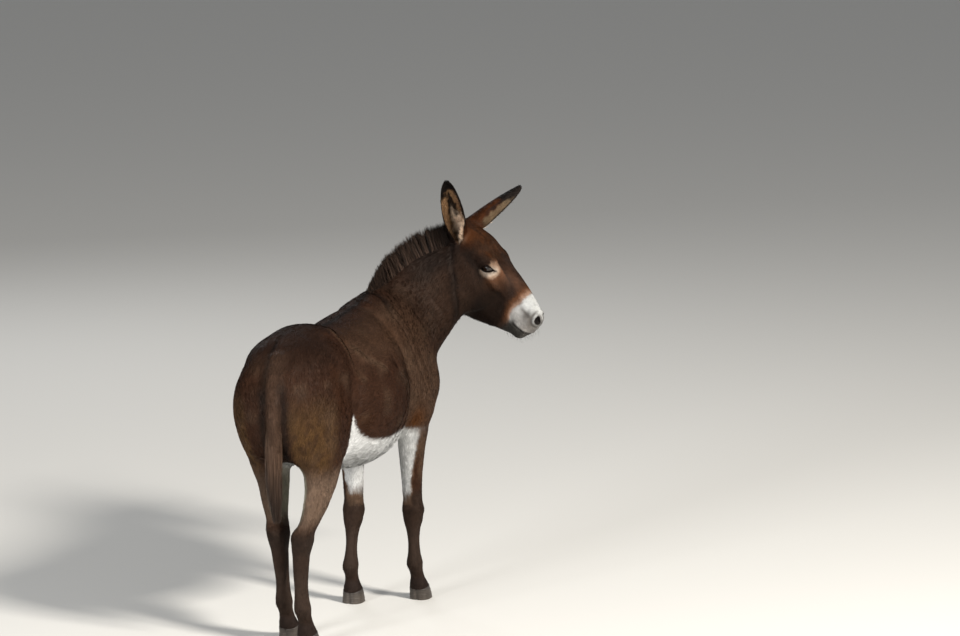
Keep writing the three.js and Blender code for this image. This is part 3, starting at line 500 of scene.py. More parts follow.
# ------------------------------------------------------------ tail
tail_table = Table(TAIL)
TAIL_N = 30
TAIL_END = 0.70
tail_s = np.linspace(0, 1, TAIL_N + 1)
tail_c = np.stack(tail_table(tail_s)[1:4], 1)
tail_t = unit(np.gradient(tail_c, axis=0))
tail_out = unit(np.array([0.0, 1, 0]) - tail_t * tail_t[:, 1:2])


def tail_coords(P):
    best = np.full(len(P), 1e18)
    where = np.zeros(len(P))
    over = np.zeros(len(P))
    last = int(TAIL_N * TAIL_END)
    for i in range(last):
        a, e = tail_c[i], tail_c[i + 1] - tail_c[i]
        ee = e.dot(e)
        raw = (P - a) @ e / ee
        s = np.clip(raw, 0, 1)
        d = np.sum((P - a - s[:, None] * e) ** 2, axis=1)
        m = d < best
        best[m] = d[m]
        where[m] = i + s[m]
        o = np.zeros(len(P))
        if i == 0:
            o = np.where(raw < 0, raw * math.sqrt(ee), 0)
        if i == last - 1:
            o = np.where(raw > 1, (raw - 1) * math.sqrt(ee), 0)
        over[m] = o[m]
    i = np.minimum(TAIL_N - 1, where.astype(int))
    f = (where - i)[:, None]
    c = tail_c[i] * (1 - f) + tail_c[i + 1] * f
    out = tail_out[i] * (1 - f) + tail_out[i + 1] * f
    tan = tail_t[i] * (1 - f) + tail_t[i + 1] * f
    q = P - c
    return where / TAIL_N, q[:, 0], np.sum(q * out, 1), over, tan


def tail_field(P):
    s, lat, out, over, _ = tail_coords(P)
    _, _, _, _, a, b = tail_table(s)
    return section(lat, out, a - 2.5, b - 2.5, 2.0 + 0 * a, over, 20.0)


# ------------------------------------------------------------ eyes
eye_w = 40.0
while skull_field(np.array([[EYE["u"], EYE["v"], eye_w]]))[0] < 0:
    eye_w += 0.5
eye_w -= EYE["depth"]
EYE_C = {side: np.array([EYE["u"], EYE["v"], eye_w * side]) for side in (1, -1)}
# Frame of each eye in the head frame: along the slit towards the front corner, up, and outwards.
SLIT = unit(np.array([0.74, 0.67]))


def eye_frame(side):
    out = unit(np.array([0.10, 0.16, 1.0 * side]))
    a = np.array([SLIT[0], SLIT[1], 0.0])
    a = unit(a - out * a.dot(out))
    b = np.cross(out, a) * side
    if b[1] < 0:
        b = -b
    return a, b, out


EYES = {side: eye_frame(side) for side in (1, -1)}


def eye_coords(q, side):
    a, b, o = EYES[side]
    p = q - EYE_C[side]
    return p @ a, p @ b, p @ o


def slit(a, b):
    """Signed distance-like value to the almond opening of the lids: negative inside."""
    L = 26.0
    x = np.clip(a / L, -1, 1)
    xt = np.clip((a + 4) / np.where(a < -4, L - 4, L + 4), -1, 1)
    top = 17.0 * (1 - np.abs(xt) ** 2.0)
    low = 6.5 * (1 - np.abs(x) ** 2.4)
    mid = 0.11 * a - 6.5
    h = np.where(b > mid, b - mid - top, mid - b - low)
    return np.maximum(h, np.abs(a) - L)


MOUTH = Table([[395, -62, 0], [405, -61, 0], [425, -55, 0], [448, -46, 0], [468, -38, 0], [490, -33, 0]])
NOSTRIL = (446, 26, 31)
NOSTRIL_TILT = -0.55


def head_relief(q, d):
    """Folds, lids, nostrils and mouth on the head's field."""
    u, v, w = q[:, 0], q[:, 1], q[:, 2]
    near = np.abs(d) < 45
    out = d.copy()
    idx = np.nonzero(near)[0]
    if len(idx) == 0:
        return out
    u, v, w, e = u[idx], v[idx], w[idx], d[idx]
    qq = q[idx]
    aw = np.abs(w)
    m = np.stack([u, v, aw], 1)

    def blob(c, r, amp):
        return amp * np.exp(-np.sum(((m - np.array(c, float)) / np.array(r, float)) ** 2, 1))

    # hollow over the eye, hollow of the cheek ahead of the masseter, flat side of the nose
    e = e + blob((118, 26, 62), (24, 15, 26), 5.0)
    e = e + blob((292, -70, 52), (34, 42, 30), 6.0)
    e = e + blob((330, 2, 46), (70, 20, 24), 3.5)
    e = e - blob((250, -24, 60), (62, 7, 22), 3.0)
    e = e - blob((160, 33, 62), (26, 10, 24), 2.5)
    # jaw's rear edge against the neck, and the vein below the facial crest
    e = e + blob((96, -120, 84), (13, 60, 40), 4.0)
    # soft wrinkles over the upper lid and behind the mouth's corner
    for side in (1, -1):
        a, b, o = eye_coords(qq, side)
        on = (o > 0) & (np.abs(a) < 60) & (np.abs(b) < 50)
        arc = b - 20 + 0.014 * (a + 4) ** 2
        e = np.where(on, e + 1.5 * gauss(arc, 2.4) * gauss(a, 26), e)
        arc = b + 22 - 0.010 * a * a
        e = np.where(on, e + 1.1 * gauss(arc, 2.2) * gauss(a, 24), e)
    vm = MOUTH(u)[1]
    fade = sst(390, 406, u)
    e = e + 5.0 * gauss(v - vm, 3.0) * fade
    e = e - 2.2 * gauss(v - vm - 9, 6.0) * fade - 1.6 * gauss(v - vm + 9, 6.0) * fade
    for k, (du, dv) in enumerate(((388, -50), (392, -66), (380, -58))):
        e = e + 0.9 * np.exp(-(((u - du) / 9) ** 2) - (((v - dv) / 2.2) ** 2)) * (aw > 20)
    # nostrils: a comma shaped opening with a raised rim
    nose = np.stack([u - NOSTRIL[0], v - NOSTRIL[1], aw - NOSTRIL[2]], 1)
    tilt = NOSTRIL_TILT
    n1 = nose[:, 0] * math.cos(tilt) + nose[:, 1] * math.sin(tilt)
    n2 = -nose[:, 0] * math.sin(tilt) + nose[:, 1] * math.cos(tilt)
    bend = n2 - 0.014 * n1 * n1 + 1.0
    opening = np.sqrt((n1 / 17.5) ** 2 + (bend / 7.5) ** 2 + (nose[:, 2] / 17.0) ** 2)
    rim = (opening - 1) * 8.0
    e = e - 2.0 * gauss(rim - 5.5, 4.5) * sst(2, -9, n2) * sst(16, 4, n1)
    e = e + 2.6 * gauss(rim - 18, 7.0) * sst(0, -12, n2)
    e = smax(e, -rim, 3.5)
    # lids: a shell round each eyeball, opened by the slit
    for side in (1, -1):
        a, b, o = eye_coords(qq, side)
        r = np.sqrt(a * a + b * b + o * o)
        sl = slit(a, b)
        lid = r - (EYE["radius"] + 4.2 + 0.8 * gauss(sl, 4.0))
        e = smin(e, lid, 13.0)
        cut = np.maximum(sl, -(o - 3.0))
        e = smax(e, -cut, 1.8)
    out[idx] = e
    return out


# ------------------------------------------------------------ relief of the body
def polyline_distance(P, points):
    best = np.full(len(P), 1e18)
    pts = np.array(points, float)
    for a, b in zip(pts[:-1], pts[1:]):
        e = b - a
        s = np.clip((P - a) @ e / e.dot(e), 0, 1)
        best = np.minimum(best, np.sum((P - a - s[:, None] * e) ** 2, 1))
    return np.sqrt(best)


CROUP = [(0, 100, 1170), (8, 250, 1155), (22, 380, 1143), (26, 440, 1122), (22, 499, 1090), (14, 538, 1060), (6, 566, 1028), (2, 590, 985), (-2, 606, 930)]
CREASE = [(-8, -303, 1196), (-52, -303, 1184), (-96, -272, 1150), (-119, -272, 1125), (-138, -284, 1098), (-173, -298, 1026), (-194, -333, 945), (-207, -367, 856)]
FOLDS = [
    [(-68, 190, 1144), (-100, 191, 1121), (-126, 182, 1090), (-160, 195, 1045), (-181, 181, 995), (-197, 151, 962)],
    [(-131, 121, 1078), (-173, 99, 1029), (-200, 44, 1004), (-217, 13, 977)],
]
JAW = [(-206, -605, 1358), (-216, -572, 1290), (-237, -562, 1223), (-237, -561, 1185), (-242, -569, 1146), (-229, -598, 1071)]
WRINKLES = [
    [(-65, -427, 1194), (-94, -435, 1167), (-145, -451, 1091), (-175, -524, 1017)],
    [(-102, -472, 1189), (-151, -493, 1120), (-185, -537, 1050)],
    [(-129, -505, 1205), (-172, -520, 1148), (-204, -551, 1088)],
]


def body_relief(P, d):
    """Muscle edges, tendons and folds, as small changes of the field. Points are mirrored to the right side."""
    near = np.nonzero(np.abs(d) < 60)[0]
    if len(near) == 0:
        return d
    out = d.copy()
    p = P[near].copy()
    e = d[near]
    right = p.copy()
    right[:, 0] = -np.abs(right[:, 0])

    def line(points, width, amp, where=None):
        nonlocal e
        q = right if where is None else where
        e = e + amp * gauss(polyline_distance(q, points), width)

    line([(x, y, z) for x, y, z in CROUP[3:8]], 8, 4.6, where=p)
    # the crease before the shoulder, the folds of the loin, and the wrinkles of the neck's root
    line(CREASE, 8, 5.0)
    line([(x + 4, y - 22, z) for x, y, z in CREASE], 14, -3.0)
    for pts in FOLDS:
        line(pts, 11, -3.4)
        line([(x, y - 24, z - 8) for x, y, z in pts], 14, 2.4)
    line([(-188, -87, 1034), (-222, -92, 954), (-228, -140, 893), (-236, -136, 814), (-233, -70, 732)], 17, 4.5)
    for k, pts in enumerate(WRINKLES):
        line(pts, 8, 2.4)
        line([(x, y - 13, z - 4) for x, y, z in pts], 8, -1.8)
    # the hollow of the flank ahead of the haunch and the haunch's own edge
    line([(-178, 190, 830), (-190, 185, 900), (-160, 180, 1000), (-130, 150, 1070)], 38, 7.0)
    line([(-190, 245, 820), (-196, 262, 900), (-172, 262, 1000), (-120, 280, 1085)], 30, -4.5)
    # the back of the shoulder and the crease behind the elbow
    line([(-122, -225, 1120), (-182, -222, 980), (-205, -215, 860), (-200, -215, 740)], 26, 4.0)
    line([(-175, -405, 1000), (-196, -380, 900), (-200, -395, 810)], 34, -3.5)
    line([(-110, -330, 1110), (-165, -350, 1000)], 22, 2.5)
    # between the thigh's two muscles and below the point of the buttock
    line([(-168, 430, 930), (-160, 455, 820), (-132, 440, 700)], 20, 2.5)
    line([(-150, 330, 700), (-132, 340, 620), (-112, 372, 560)], 22, -2.5)
    # behind the jaw
    line(JAW, 9, 4.5)
    line([(x, y + 24, z) for x, y, z in JAW], 12, -2.5)
    # breast groove
    line([(-8, -600, 880), (-8, -590, 780), (-8, -560, 700)], 16, 5.0)
    out[near] = e
    # tendons of the legs, in each leg's own place
    low = np.nonzero((np.abs(d) < 40) & (P[:, 2] < 640))[0]
    if len(low):
        p = P[low]
        e = out[low]
        for name in LEGS:
            _, cx, cy, a, f, b, n = leg_tables[name](p[:, 2])
            x, y, z = p[:, 0] - cx, p[:, 1] - cy, p[:, 2]
            on = (np.abs(x) < 75) & (np.abs(y) < 140)
            g = np.zeros(len(p))
            if name.startswith("hind"):
                # hollow before the tendon that runs to the point of the hock
                g += 8.0 * gauss(y - b * 0.52, 11) * sst(430, 480, z) * (1 - sst(560, 620, z)) * sst(8, 22, np.abs(x))
                g -= 3.0 * gauss(z - 405, 20) * gauss(y + 22, 22) * sst(10, 25, np.abs(x))
                g += 3.0 * gauss(z - 350, 16) * gauss(y + 4, 16) * sst(6, 18, np.abs(x))
            else:
                g -= 2.5 * gauss(z - 355, 18) * gauss(y + 30, 20)
                g += 2.5 * gauss(z - 330, 9) * gauss(y + 36, 16)
                g += 3.0 * gauss(z - 405, 18) * sst(10, 24, np.abs(x)) * gauss(y - 8, 18)
                g -= 3.0 * gauss(z - 362, 15) * gauss(y - 38, 12)
            # cannon bone in front, tendons behind, with a groove between them
            g += 3.2 * gauss(y - 9, 5.5) * sst(170, 200, z) * (1 - sst(290, 320, z)) * sst(6, 16, np.abs(x))
            # hollow at the back of the pastern, and the fetlock's small tuft
            g += 2.5 * gauss(z - 104, 16) * gauss(y - b, 14)
            g -= 2.0 * gauss(z - 142, 12) * gauss(y - b, 12)
            e = e + np.where(on, g, 0)
        out[low] = e
    return out


def coronet_height(name, y):
    """Height of the hoof's top edge at y."""
    mid = (402 if name.startswith("hind") else -408) + STEP[name][0]
    return (CORONET[0] + CORONET[1]) / 2 - (y - mid) * (CORONET[0] - CORONET[1]) / 80


PARTS = ["trunk", "neck", "head"] + LEGS + ["ear_right", "ear_left", "tail"]


def fields(P, want_parts=False, relief=True):
    """The skin's field at the points, and each part's own field when wanted."""
    n = len(P)
    x, y, z = P[:, 0], P[:, 1], P[:, 2]
    far = np.full(n, 400.0)
    part = {}
    d = far.copy()
    idx = np.nonzero((z > 480) & (z < 1260) & (y > -660))[0]
    t = far.copy()
    if len(idx):
        v = trunk_field(x[idx], y[idx], z[idx])
        Pi = P[idx]
        for c, r, blend, rows in masses:
            reach = max(r) + 150
            m = np.nonzero(np.all(np.abs(Pi - np.array(c)) < reach, axis=1))[0]
            if len(m):
                v[m] = smin(v[m], ellipsoid(Pi[m], c, r, rows), blend)
        t[idx] = v
    part["trunk"] = t
    d = np.minimum(d, t)
    for name in LEGS:
        fore = name.startswith("fore")
        m = np.nonzero((z < 1150) & ((y < -120) if fore else (y > 60)))[0]
        v = far.copy()
        if len(m):
            v[m] = leg_field(name, x[m], y[m], z[m])
        part[name] = v
        d = smin(d, v, 45.0 if fore else 55.0)
    m = np.nonzero((y < -150) & (z > 500))[0]
    v = far.copy()
    if len(m):
        v[m] = neck_field(P[m])
    part["neck"] = v
    d = smin(d, v, 80.0)
    m = np.nonzero((z > 800) & (y < -400))[0]
    v = far.copy()
    q = None
    if len(m):
        q = to_head(P[m])
        v[m] = skull_field(q)
        d[m] = smin(d[m], v[m], 32.0)
    part["head"] = v
    if relief:
        d = body_relief(P, d)
    # the coat's depth: deeper on the body, thin on the legs and the face
    depth = 1.5 + 2.5 * sst(420, 700, z)
    if q is not None and len(m):
        face = sst(-60, 40, q[:, 0]) * sst(30, -10, part["head"][m] - part["neck"][m] - 20)
        depth[m] = lerp(depth[m], 1.2, face)
    d = d + depth
    m2 = np.nonzero((y > 380) & (z > 560) & (z < 1180) & (np.abs(x) < 160))[0]
    v = far.copy()
    if len(m2):
        v[m2] = tail_field(P[m2])
        d[m2] = smin(d[m2], v[m2], 5.0 + 24.0 * sst(945, 1015, z[m2]))
    part["tail"] = v
    if q is not None and len(m):
        if relief:
            d[m] = head_relief(q, d[m])
        for name in ears:
            base, A, O, S, length = ears[name]
            k = np.nonzero(np.all(np.abs(q - base - A * (length / 2 - 15)) < length / 2 + 60, axis=1))[0]
            v = far.copy()
            if len(k):
                f = ear_field(name, q[k])
                v[m[k]] = f
                t = ear_coords(name, q[k])[0]
                d[m[k]] = smin(d[m[k]], f, 1.0 + 15.0 * (1 - sst(0.12, 0.35, t)))
            part[name] = v
    else:
        part["ear_right"] = far
        part["ear_left"] = far
    # the skin ends a little inside each hoof
    m = np.nonzero(z < 110)[0]
    if len(m):
        xs, ys, zs = x[m], y[m], z[m]
        floor = np.full(len(m), -1e3)
        for name in LEGS:
            side = 1 if name.endswith("left") else -1
            on = ((ys > 0) == name.startswith("hind")) & (xs * side > 0)
            floor = np.where(on, coronet_height(name, ys) - 4 - zs, floor)
        d[m] = np.maximum(d[m], floor)
    if want_parts:
        return d, part
    return d


# ============================================================ from the field to a mesh
def net(field, lo, hi, cell, levels, keep=None):
    """A closed net of quads on the zero of the field: cells are halved level by level near the surface."""
    lo, hi = np.array(lo, float), np.array(hi, float)
    c = cell * 2 ** (levels - 1)
    n = np.ceil((hi - lo) / c).astype(int)
    grid = np.stack(np.meshgrid(*[np.arange(k) for k in n], indexing="ij"), -1).reshape(-1, 3)
    offs = np.array([[a, b, d] for a in (0, 1) for b in (0, 1) for d in (0, 1)])
    for level in range(levels):
        centre = lo + (grid + 0.5) * c
        if keep is not None:
            near = keep(centre) < 1.2 * c + 8
            grid, centre = grid[near], centre[near]
        f = field(centre)
        grid = grid[np.abs(f) < c * 1.55]
        if level < levels - 1:
            grid = (grid[:, None, :] * 2 + offs[None]).reshape(-1, 3)
            c /= 2
    N = (n * 2 ** (levels - 1) + 2).astype(np.int64)

    def ident(g):
        return g[..., 0] + N[0] * (g[..., 1] + N[1] * g[..., 2].astype(np.int64))

    corners = grid[:, None, :] + offs[None]
    pid = ident(corners)
    ids, first, inverse = np.unique(pid.reshape(-1), return_index=True, return_inverse=True)
    places = lo + corners.reshape(-1, 3)[first] * c
    values = field(places)
    values[np.abs(values) < 1e-6] = 1e-6
    V = values[inverse].reshape(-1, 8)
    mixed = (V < 0).any(1) & (V >= 0).any(1)
    grid, V = grid[mixed], V[mixed]
    cid = ident(grid)
    order = np.argsort(cid)
    grid, V, cid = grid[order], V[order], cid[order]
    total = np.zeros((len(grid), 3))
    count = np.zeros(len(grid))
    for a in range(8):
        for b in range(a + 1, 8):
            if np.abs(offs[a] - offs[b]).sum() != 1:
                continue
            cross = (V[:, a] < 0) != (V[:, b] < 0)
            t = np.where(cross, V[:, a] / np.where(cross, V[:, a] - V[:, b], 1), 0)
            p = offs[a] + (offs[b] - offs[a]) * t[:, None]
            total += np.where(cross[:, None], p, 0)
            count += cross
    verts = lo + (grid + total / count[:, None]) * c
    quads = []
    zero = 0  # corner (0,0,0)
    for axis, corner in ((0, 4), (1, 2), (2, 1)):
        b, d = [k for k in range(3) if k != axis]
        m = np.nonzero((V[:, zero] < 0) != (V[:, corner] < 0))[0]
        eb, ed = np.zeros(3, int), np.zeros(3, int)
        eb[b] = 1
        ed[d] = 1
        want = [grid[m], grid[m] - eb, grid[m] - eb - ed, grid[m] - ed]
        found, ok = [], np.ones(len(m), bool)
        for g in want:
            w = ident(g)
            k = np.minimum(np.searchsorted(cid, w), len(cid) - 1)
            ok &= cid[k] == w
            found.append(k)
        q = np.stack(found, 1)[ok]
        inside = V[m[ok], zero] < 0
        # a quad faces along +axis where the low end is inside
        flip = inside if axis in (0, 2) else ~inside
        q[~flip] = q[~flip][:, ::-1]
        quads.append(q)
    return verts, np.concatenate(quads)


def gradient(field, P, h=0.6):
    k = np.array([[1, -1, -1], [-1, -1, 1], [-1, 1, -1], [1, 1, 1]], float)
    n = len(P)
    f = field(np.concatenate([P + k[i] * h for i in range(4)]))
    g = sum(k[i] * f[i * n : (i + 1) * n, None] for i in range(4)) / (4 * h)
    return g, sum(f[i * n : (i + 1) * n] for i in range(4)) / 4


def settle(field, P, steps=2, reach=4.0):
    """Moves the points onto the zero of the field and gives the normals there."""
    for _ in range(steps):
        g, f = gradient(field, P)
        gg = np.maximum(np.sum(g * g, 1), 0.05)
        move = g * (f / gg)[:, None]
        length = np.linalg.norm(move, axis=1, keepdims=True)
        P = P - move * np.minimum(1, reach / np.maximum(length, 1e-9))
    g, _ = gradient(field, P)
    return P, unit(g)


def mesh_object(name, verts, faces, smooth=True, row=True):
    """A mesh object from places in the body frame (mm) and faces of one size."""
    v = np.asarray(verts, float)
    if row:
        v = (v + SHIFT) / 1000.0
    faces = np.asarray(faces, np.int32)
    me = bpy.data.meshes.new(name)
    k = faces.shape[1]
    me.vertices.add(len(v))
    me.vertices.foreach_set("co", v.astype(np.float32).reshape(-1))
    me.loops.add(faces.size)
    me.loops.foreach_set("vertex_index", faces.reshape(-1))
    me.polygons.add(len(faces))
    me.polygons.foreach_set("loop_start", np.arange(len(faces), dtype=np.int32) * k)
    me.polygons.foreach_set("use_smooth", np.full(len(faces), smooth))
    me.update(calc_edges=True)
    ob = bpy.data.objects.new(name, me)
    bpy.context.scene.collection.objects.link(ob)
    return ob


def set_colour(me, colour, name="Tint"):
    at = me.attributes.new(name, "FLOAT_COLOR", "POINT")
    c = np.ones((len(colour), 4), np.float32)
    c[:, :3] = colour
    at.data.foreach_set("color", c.reshape(-1))


# Where the body frame stands in the row's frame: the left eye's box says it.
lo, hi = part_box("eye_left")
SHIFT = np.array([(a + b) / 2 * 1000 for a, b in zip(lo, hi)]) - from_head(EYE_C[1])
SHIFT[2] = 0.0
said("shift %s" % SHIFT.round(2))

# ------------------------------------------------------------ the skin
BODY_CELL = 5.0
HEAD_CELL = 2.5
CUT_AT, CUT_N = np.array([-104.0, -575.0, 1120.0]), unit(np.array([-0.60, -0.42, 0.68]))
body_v, body_q = net(fields, [-330, -700, 20], [300, 680, 1330], BODY_CELL, 3, keep=lambda P: (P - CUT_AT) @ CUT_N)
said("body net %d" % len(body_q))
head_v, head_q = net(fields, [-640, -930, 900], [60, -380, 1700], HEAD_CELL, 3, keep=lambda P: -(P - CUT_AT) @ CUT_N)
said("head net %d" % len(head_q))


def clipped(verts, faces, at, normal):
    bm = bmesh.new()
    ob = mesh_object("clip", verts, faces, row=False)
    bm.from_mesh(ob.data)
    bpy.data.meshes.remove(ob.data)
    bmesh.ops.bisect_plane(bm, geom=bm.verts[:] + bm.edges[:] + bm.faces[:], dist=1e-4, plane_co=at, plane_no=normal, clear_outer=True)
    return bm


bm_a = clipped(body_v, body_q, CUT_AT, CUT_N)
bm_b = clipped(head_v, head_q, CUT_AT + CUT_N * 3.0, -CUT_N)
tmp = bpy.data.meshes.new("tmp")
bm_b.to_mesh(tmp)
bm_b.free()
bm_a.from_mesh(tmp)
bpy.data.meshes.remove(tmp)
def from_cut(v):
    return float((np.array(v.co) - CUT_AT) @ CUT_N)


rim = [e for e in bm_a.edges if e.is_boundary and all(abs(from_cut(v)) < 0.3 or abs(from_cut(v) - 3.0) < 0.3 for v in e.verts)]
said("rim edges %d of %d open" % (len(rim), sum(1 for e in bm_a.edges if e.is_boundary)))
bmesh.ops.bridge_loops(bm_a, edges=rim)
bmesh.ops.holes_fill(bm_a, edges=[e for e in bm_a.edges if e.is_boundary])
# only the largest connected piece is the skin
bm_a.verts.ensure_lookup_table()
left = set(bm_a.verts)
islands = []
while left:
    start = next(iter(left))
    stack, group = [start], {start}
    left.discard(start)
    while stack:
        for e in stack.pop().link_edges:
            for w in e.verts:
                if w in left:
                    left.discard(w)
                    group.add(w)
                    stack.append(w)
    islands.append(group)
islands.sort(key=len, reverse=True)
said("islands %s" % [len(g) for g in islands[:6]])
for g in islands[1:]:
    bmesh.ops.delete(bm_a, geom=list(g), context="VERTS")
open_edges = sum(1 for e in bm_a.edges if not e.is_manifold)
said("open or loose edges %d" % open_edges)
skin_mesh = bpy.data.meshes.new("skin")
bm_a.to_mesh(skin_mesh)
bm_a.free()
P = np.zeros(len(skin_mesh.vertices) * 3, np.float32)
skin_mesh.vertices.foreach_get("co", P)
P = P.reshape(-1, 3).astype(float)
P, NRM = settle(fields, P, 2, 2.0)
said("settled %d" % len(P))


# ============================================================ where on the body a point is
def lie(P, N):
    """For places on the skin: the part and each part's share, the way the coat lies, places in the neck's and the
    head's frames, and each part's field.
    """
    _, part = fields(P, want_parts=True, relief=False)
    names = PARTS
    F = np.stack([part[k] for k in names], 1)
    W = np.exp(-np.clip((F - F.min(1, keepdims=True)) / 14.0, 0, 30))
    W /= W.sum(1, keepdims=True)
    x, y, z = P[:, 0], P[:, 1], P[:, 2]
    side = np.where(x < 0, -1.0, 1.0)
    steep = np.abs(N[:, 0])
    flow = np.zeros((len(P), 3))
    rump = sst(300, 480, y)
    shoulder = sst(-150, -330, y)
    ft = np.stack([-0.15 * side * (N[:, 2] < -0.3), 0.95 - 0.5 * rump - 0.35 * shoulder, -0.38 * steep - 0.75 * rump - 0.5 * shoulder * steep], 1)
    s, lat, dor, over, tan = neck_coords(P)
    fn = -tan * 0.85 + np.array([0, 0, -0.45])
    q = to_head(P)
    nv = N @ HV
    fh = HU * 0.85 - HV * np.clip(0.55 * (1 - np.abs(nv)), 0, 1)[:, None] * sst(330, 200, q[:, 0])[:, None]
    fl = np.tile(np.array([0.0, 0.12, -1.0]), (len(P), 1))
    ftail = tail_coords(P)[4]
    by = dict(trunk=ft, neck=fn, head=fh, tail=ftail)
    for n in LEGS:
        by[n] = fl
    for n in ears:
        by[n] = np.tile(ears[n][1] @ HM, (len(P), 1))
    for i, n in enumerate(names):
        flow += W[:, i : i + 1] * unit(by[n])
    flow -= N * np.sum(flow * N, 1, keepdims=True)
    return np.argmax(W, 1), W, unit(flow), (s, lat, dor), q, part


# ============================================================ the coat's colours (linear)
BROWN = np.array([0.030, 0.0130, 0.0072])
DARK = np.array([0.0120, 0.0062, 0.0042])
BLACK = np.array([0.0045, 0.0033, 0.0030])
RUST = np.array([0.070, 0.0225, 0.0060])
TAN = np.array([0.088, 0.044, 0.0140])
GREYBROWN = np.array([0.084, 0.051, 0.032])
WHITE = np.array([0.565, 0.570, 0.565])
CREAM = np.array([0.40, 0.285, 0.205])
BUFF = np.array([0.150, 0.086, 0.044])
ASH = np.array([0.085, 0.077, 0.070])
SLATE = np.array([0.020, 0.0185, 0.016])

MUZZLE_EDGE = Table([[-130, 412, 0], [-100, 403, 0], [-69, 381, 0], [-45, 361, 0], [-10, 352, 0], [19, 345, 0], [45, 334, 0], [70, 324, 0], [90, 318, 0]])
BELLY = Table([[-560, 690, 0], [-330, 700, 0], [-200, 722, 0], [-46, 728, 0], [60, 722, 0], [111, 727, 0], [183, 768, 0], [214, 822, 0], [250, 840, 0], [330, 800, 0], [420, 790, 0], [560, 800, 0]])


